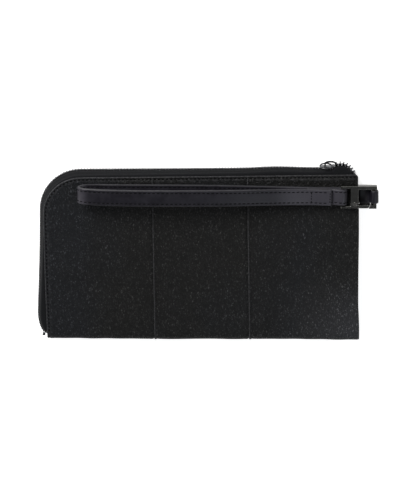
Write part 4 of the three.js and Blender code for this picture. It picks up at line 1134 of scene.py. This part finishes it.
def catmull(points, per_segment):
    p = np.asarray(points, float)
    p = np.concatenate([[2 * p[0] - p[1]], p, [2 * p[-1] - p[-2]]])
    out = []
    for i in range(1, len(p) - 2):
        x0, x1, x2, x3 = p[i - 1:i + 3]
        d0, d1, d2 = (max(np.linalg.norm(b - a), 1e-4) ** 0.5 for a, b in ((x0, x1), (x1, x2), (x2, x3)))
        t1 = ((x1 - x0) / d0 - (x2 - x0) / (d0 + d1) + (x2 - x1) / d1) * d1
        t2 = ((x2 - x1) / d1 - (x3 - x1) / (d1 + d2) + (x3 - x2) / d2) * d1
        t = np.linspace(0, 1, per_segment, endpoint=False)[:, None]
        out.append(x1 + t1 * t + (-3 * x1 + 3 * x2 - 2 * t1 - t2) * t ** 2
                   + (2 * x1 - 2 * x2 + t1 + t2) * t ** 3)
    out.append(p[-2:-1])
    return np.concatenate(out)


def strap_support(x):
    middle = STRAP_Y + (x - EYE_X) * math.tan(STRAP_TURN)
    heights = [front_height(x, middle + k * STRAP_WIDTH / 2) for k in (-1, 0, 1)]
    return float(max(heights)) + LIP_HEIGHT + REST_GAP + STRAP_THICK / 2


def strap_line():
    seam_x, loop_x = EYE_X - SEAM_END, EYE_X - REACH
    tail_height = strap_support(seam_x) + STRAP_THICK + LAYER_GAP
    high = tail_height + STRAP_THICK + LAYER_GAP
    points = [(EYE_X - SEAM_START, high), (EYE_X - (SEAM_START + SEAM_END) / 2, high), (seam_x, high)]
    for run, rise in ((0.16, 0.27), (0.34, 0.67), (0.47, 0.84), (0.62, 0.96), (0.78, 1), (0.92, 0.93)):
        points.append((seam_x - (seam_x - loop_x) * run, high + LOOP_RISE * rise))
    foot, crown = strap_support(loop_x), points[-1][1]
    for out, up in ((1, 0.8), (0, 0.5), (1, 0.18)):
        points.append((loop_x + STRAP_THICK * out, lerp(foot, crown, up)))
    rear_x = loop_x + REAR_EASE
    points.append((rear_x, strap_support(rear_x) + REST_GAP))
    for x in np.linspace(rear_x, EYE_X - SEAM_START, 10)[1:]:
        points.append((x, strap_support(x)))
    wrap = EYE_RADIUS + EYE_CLEARANCE + STRAP_THICK / 2
    for step in range(9):
        angle = lerp(-math.pi / 2, math.pi / 2, step / 8)
        points.append((EYE_X + wrap * math.cos(angle), HOOK_MIDDLE + wrap * math.sin(angle)))
    fall = HOOK_MIDDLE + wrap - tail_height
    for run, share in ((0.35, 0.85), (0.65, 0.4), (0.95, 0.06), (1.2, 0)):
        points.append((EYE_X - SEAM_START * run, tail_height + fall * share))
    points.append((EYE_X - TAIL_END, tail_height))
    return resample(catmull(points, 24), 1.0)


def spun(x, y, z):
    """Turned by the strap's own angle about the upright."""
    c, s = math.cos(STRAP_TURN), math.sin(STRAP_TURN)
    return np.stack([x * c - y * s, x * s + y * c, z], -1)


def turned(points):
    """From the strap's own frame at the eye bar to the organizer's frame."""
    x, y, z = points[..., 0] - EYE_X, points[..., 1], points[..., 2]
    y = y + STRAP_BOW * np.sin(math.pi * np.clip(-x / REACH, 0, 1)) ** 2
    return spun(x, y, z) + np.array([EYE_X, STRAP_Y, 0])


def strip(flat, y):
    """Path, up and side directions of a strip that follows a line seen from the side."""
    ahead = tangents(flat)
    path = np.stack([flat[:, 0], np.full(len(flat), float(y)), flat[:, 1]], 1)
    up = np.stack([ahead[:, 1], np.zeros(len(flat)), -ahead[:, 0]], 1)
    return path, up, np.tile([0, 1.0, 0], (len(flat), 1))


def strip_section(top, edge):
    """Along the top, down the right edge, back along the bottom and up the left edge."""
    return np.array(top + edge + [(y, -z) for y, z in top[::-1]] + [(-y, -z) for y, z in edge])


def strap():
    flat = strap_line()
    path, up, side = strip(flat, 0)
    half, thick = STRAP_WIDTH / 2, STRAP_THICK / 2
    inset = half - STRAP_STITCH_INSET
    top = []
    for y in (*(-half + d for d in STRAP_ROWS), -2, 0, 2, *(half - d for d in STRAP_ROWS[::-1])):
        groove = STRAP_GROOVE * ridge(abs(y), inset, 0.35)
        top.append((y, thick - groove - 0.10 * smooth(abs(y), half - 1.2, half)))
    edge = [(half - 0.18, thick - 0.25), (half, 0.55), (half - 0.10, 0.12)]
    edge += [(y, -z) for y, z in edge[::-1]]
    section = strip_section(top, edge)
    worn = smooth(np.abs(section[:, 0]), half - 0.75, half - 0.1)
    obj = sweep("wrist_strap_leather", path, side, up, section, strap_skin, worn=worn)
    mesh = obj.data
    points = np.array([v.co for v in mesh.vertices]) / MM
    mesh.vertices.foreach_set("co", (turned(points) * MM).astype(np.float32).ravel())
    mesh.update()
    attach(obj, "strap")
    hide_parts("wrist_strap")
    rows = []
    for face in (1, -1):
        for y in (-inset, inset):
            row = path + up * face * (thick - 0.06) + side * y
            rows.append((row[3:-3], (up * face)[3:-3]))
    cross = np.linspace(-inset, inset, 12)
    for x in (EYE_X - SEAM_START - 1.5, EYE_X - SEAM_END + 1.6):
        k = int(np.argmin(np.abs(flat[:60, 0] - x)))
        spot = path[k] + up[k] * (thick - 0.02)
        rows.append((spot + cross[:, None] * side[k], np.tile(up[k], (12, 1))))
    for number, (row, normal) in enumerate(rows):
        sewn = stitches(f"strap_stitches_{number + 1}", turned(row), spun(*normal.T),
                        STRAP_PITCH if number < 4 else CROSS_PITCH, "strap", STRAP_THREAD, sunk=0.5)


def tab():
    wrap = END_RADIUS + TAB_GAP + TAB_THICK / 2
    root = float(front_height(RIGHT, TAB_Y)) - LEATHER - TAB_GAP - TAB_THICK
    back_height = root + TAB_THICK + TAB_GAP
    low, high = math.radians(-30), math.pi

    def around(a):
        return np.array([END_X + wrap * math.cos(a), HOOK_MIDDLE + wrap * math.sin(a)])
    start, end = around(low), around(high)
    inward = np.array([-math.sin(low), math.cos(low)])
    points = [np.array([[RIGHT - 9, root]])]
    points.append(bezier([(RIGHT + 6.5, root), (RIGHT + 9.5, root), start - inward * 3, start], 24))
    points.append(np.array([around(a) for a in np.linspace(low, high, 30)[1:-1]]))
    points.append(bezier([end, end - (0, 3), (RIGHT + 7.5, back_height), (RIGHT + 4.5, back_height)], 24))
    points.append(np.array([[RIGHT + 0.9, back_height]]))
    flat = resample(np.concatenate(points), 0.5)
    path, up, side = strip(flat, TAB_Y)
    half, thick = TAB_WIDTH / 2, TAB_THICK / 2
    top = [(y, thick - 0.06 * smooth(abs(y), half - 1, half))
           for y in np.linspace(-half + 0.35, half - 0.35, 9)]
    edge = [(half - 0.1, thick - 0.2), (half, 0), (half - 0.1, -thick + 0.2)]
    section = strip_section(top, edge)
    worn = smooth(np.abs(section[:, 0]), half - 0.6, half - 0.1)
    obj = sweep("strap_tab_leather", path, side, up, section, strap_skin, "front_cover", worn=worn)
    for vertex in obj.data.vertices:
        _, y, z = (k / MM for k in vertex.co)
        share = smooth(HOOK_MIDDLE - z, 0.5, 7.0) * smooth(TAB_Y - y, 0, TAB_WIDTH / 2)
        vertex.co.y = (y - TAB_SPREAD * float(share)) * MM
    obj.data.update()
    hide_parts("strap_tab")


def gusset():
    low = FOLD_LINE - GUSSET_TUCK
    ys = low + border(TOP - 9 - low, [0, 0.1, 0.3, 1], 1.5)
    bend = FOLD_RADIUS - LEATHER
    tuck_in = bend - np.sqrt(bend ** 2 - np.clip(FOLD_LINE - ys, 0, GUSSET_TUCK) ** 2)
    under_tab = smooth(ys, TAB_Y - 9.8, TAB_Y - 8.2) - smooth(ys, TAB_Y + 5.5, TAB_Y + 7)
    high = front_height(RIGHT, ys) - GUSSET_ROOM - GUSSET_UNDER_TAB * under_tab - tuck_in
    outer = np.stack([stack(RIGHT - GUSSET_INSET - GUSSET_DEPTH * a, ys, lerp(GUSSET_ROOM + tuck_in, high, b))
                      for a, b in resample(catmull(GUSSET_FOLD, 6), 0.06)], 1)
    inner = outer - np.array([GUSSET_SKIN, 0, 0])
    middle = (outer + inner) / 2
    for index in (0, -1):
        outer[index] = inner[index] = middle[index]
        outer[:, index] = inner[:, index] = middle[:, index]
    obj = sheet("gusset_leather", outer, inner, grain)
    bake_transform(obj)
    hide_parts("side_gusset")


# Metal parts

def refined(node, name, bevel, angle=25, material=metal):
    """A fine copy of a solid whose edges are rounded and marked for a painted highlight."""
    obj = bpy.data.objects.new(name, frame["nodes"][node].data.copy())
    bpy.context.scene.collection.objects.link(obj)
    bm = bmesh.new()
    bm.from_mesh(obj.data)
    bmesh.ops.remove_doubles(bm, verts=bm.verts, dist=1e-6)
    bmesh.ops.dissolve_limit(bm, angle_limit=math.radians(1), verts=bm.verts, edges=bm.edges)
    sharp = [edge for edge in bm.edges if edge.calc_face_angle(0) > math.radians(angle)]
    bmesh.ops.bevel(bm, geom=sharp, offset=bevel * MM, segments=3, profile=0.5, affect="EDGES",
                    clamp_overlap=True, material=1)
    # The bevels' points get the painted edge highlight
    worn = [float(all(face.material_index == 1 for face in vertex.link_faces)) for vertex in bm.verts]
    for face in bm.faces:
        face.material_index = 0
    bm.to_mesh(obj.data)
    bm.free()
    obj.data.materials.clear()
    obj.data.materials.append(material)
    obj.data.polygons.foreach_set("use_smooth", [True] * len(obj.data.polygons))
    paint(obj, "worn", worn)
    weighted = obj.modifiers.new("normals", "WEIGHTED_NORMAL")
    weighted.weight = 90
    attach(obj, next(b for b, nodes in frame["record"]["behaviour"]["bodies"].items() if node in nodes))
    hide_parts(node)


add_camera()
add_floor()
add_room()
add_lamp("key", *KEY_LAMP)
add_lamp("fill", *FILL_LAMP)
front_panels()
seam_allowance("seam_allowance_left", left_seam)
seam_allowance("seam_allowance_right", right_seam)
back_panel()
hem_stitches()
linings()
pockets()
tape(True, "tape_front", "zip_tape_front", "front_cover")
tape(False, "tape_back", "zip_tape_back", "root")
teeth(True, "teeth_front", "zip_teeth_front", "front_cover")
teeth(False, "teeth_back", "zip_teeth_back", "root")
strap()
tab()
gusset()
refined("hook_frame", "hook_body", 0.4)
refined("hook_gate", "hook_gate_part", 0.15)
refined("gate_rivet", "hook_rivet", 0.1, 40, bright_metal)
refined("zip_slider", "slider_body", 0.12, material=zip_metal)
refined("zip_bottom_stop", "bottom_stop", 0.3, material=zip_metal)
for node, finish in (("pull_ring", zip_metal), ("gate_spring", metal)):
    item = frame["nodes"][node]
    item.data.materials.clear()
    item.data.materials.append(finish)
    item.data.polygons.foreach_set("use_smooth", [True] * len(item.data.polygons))
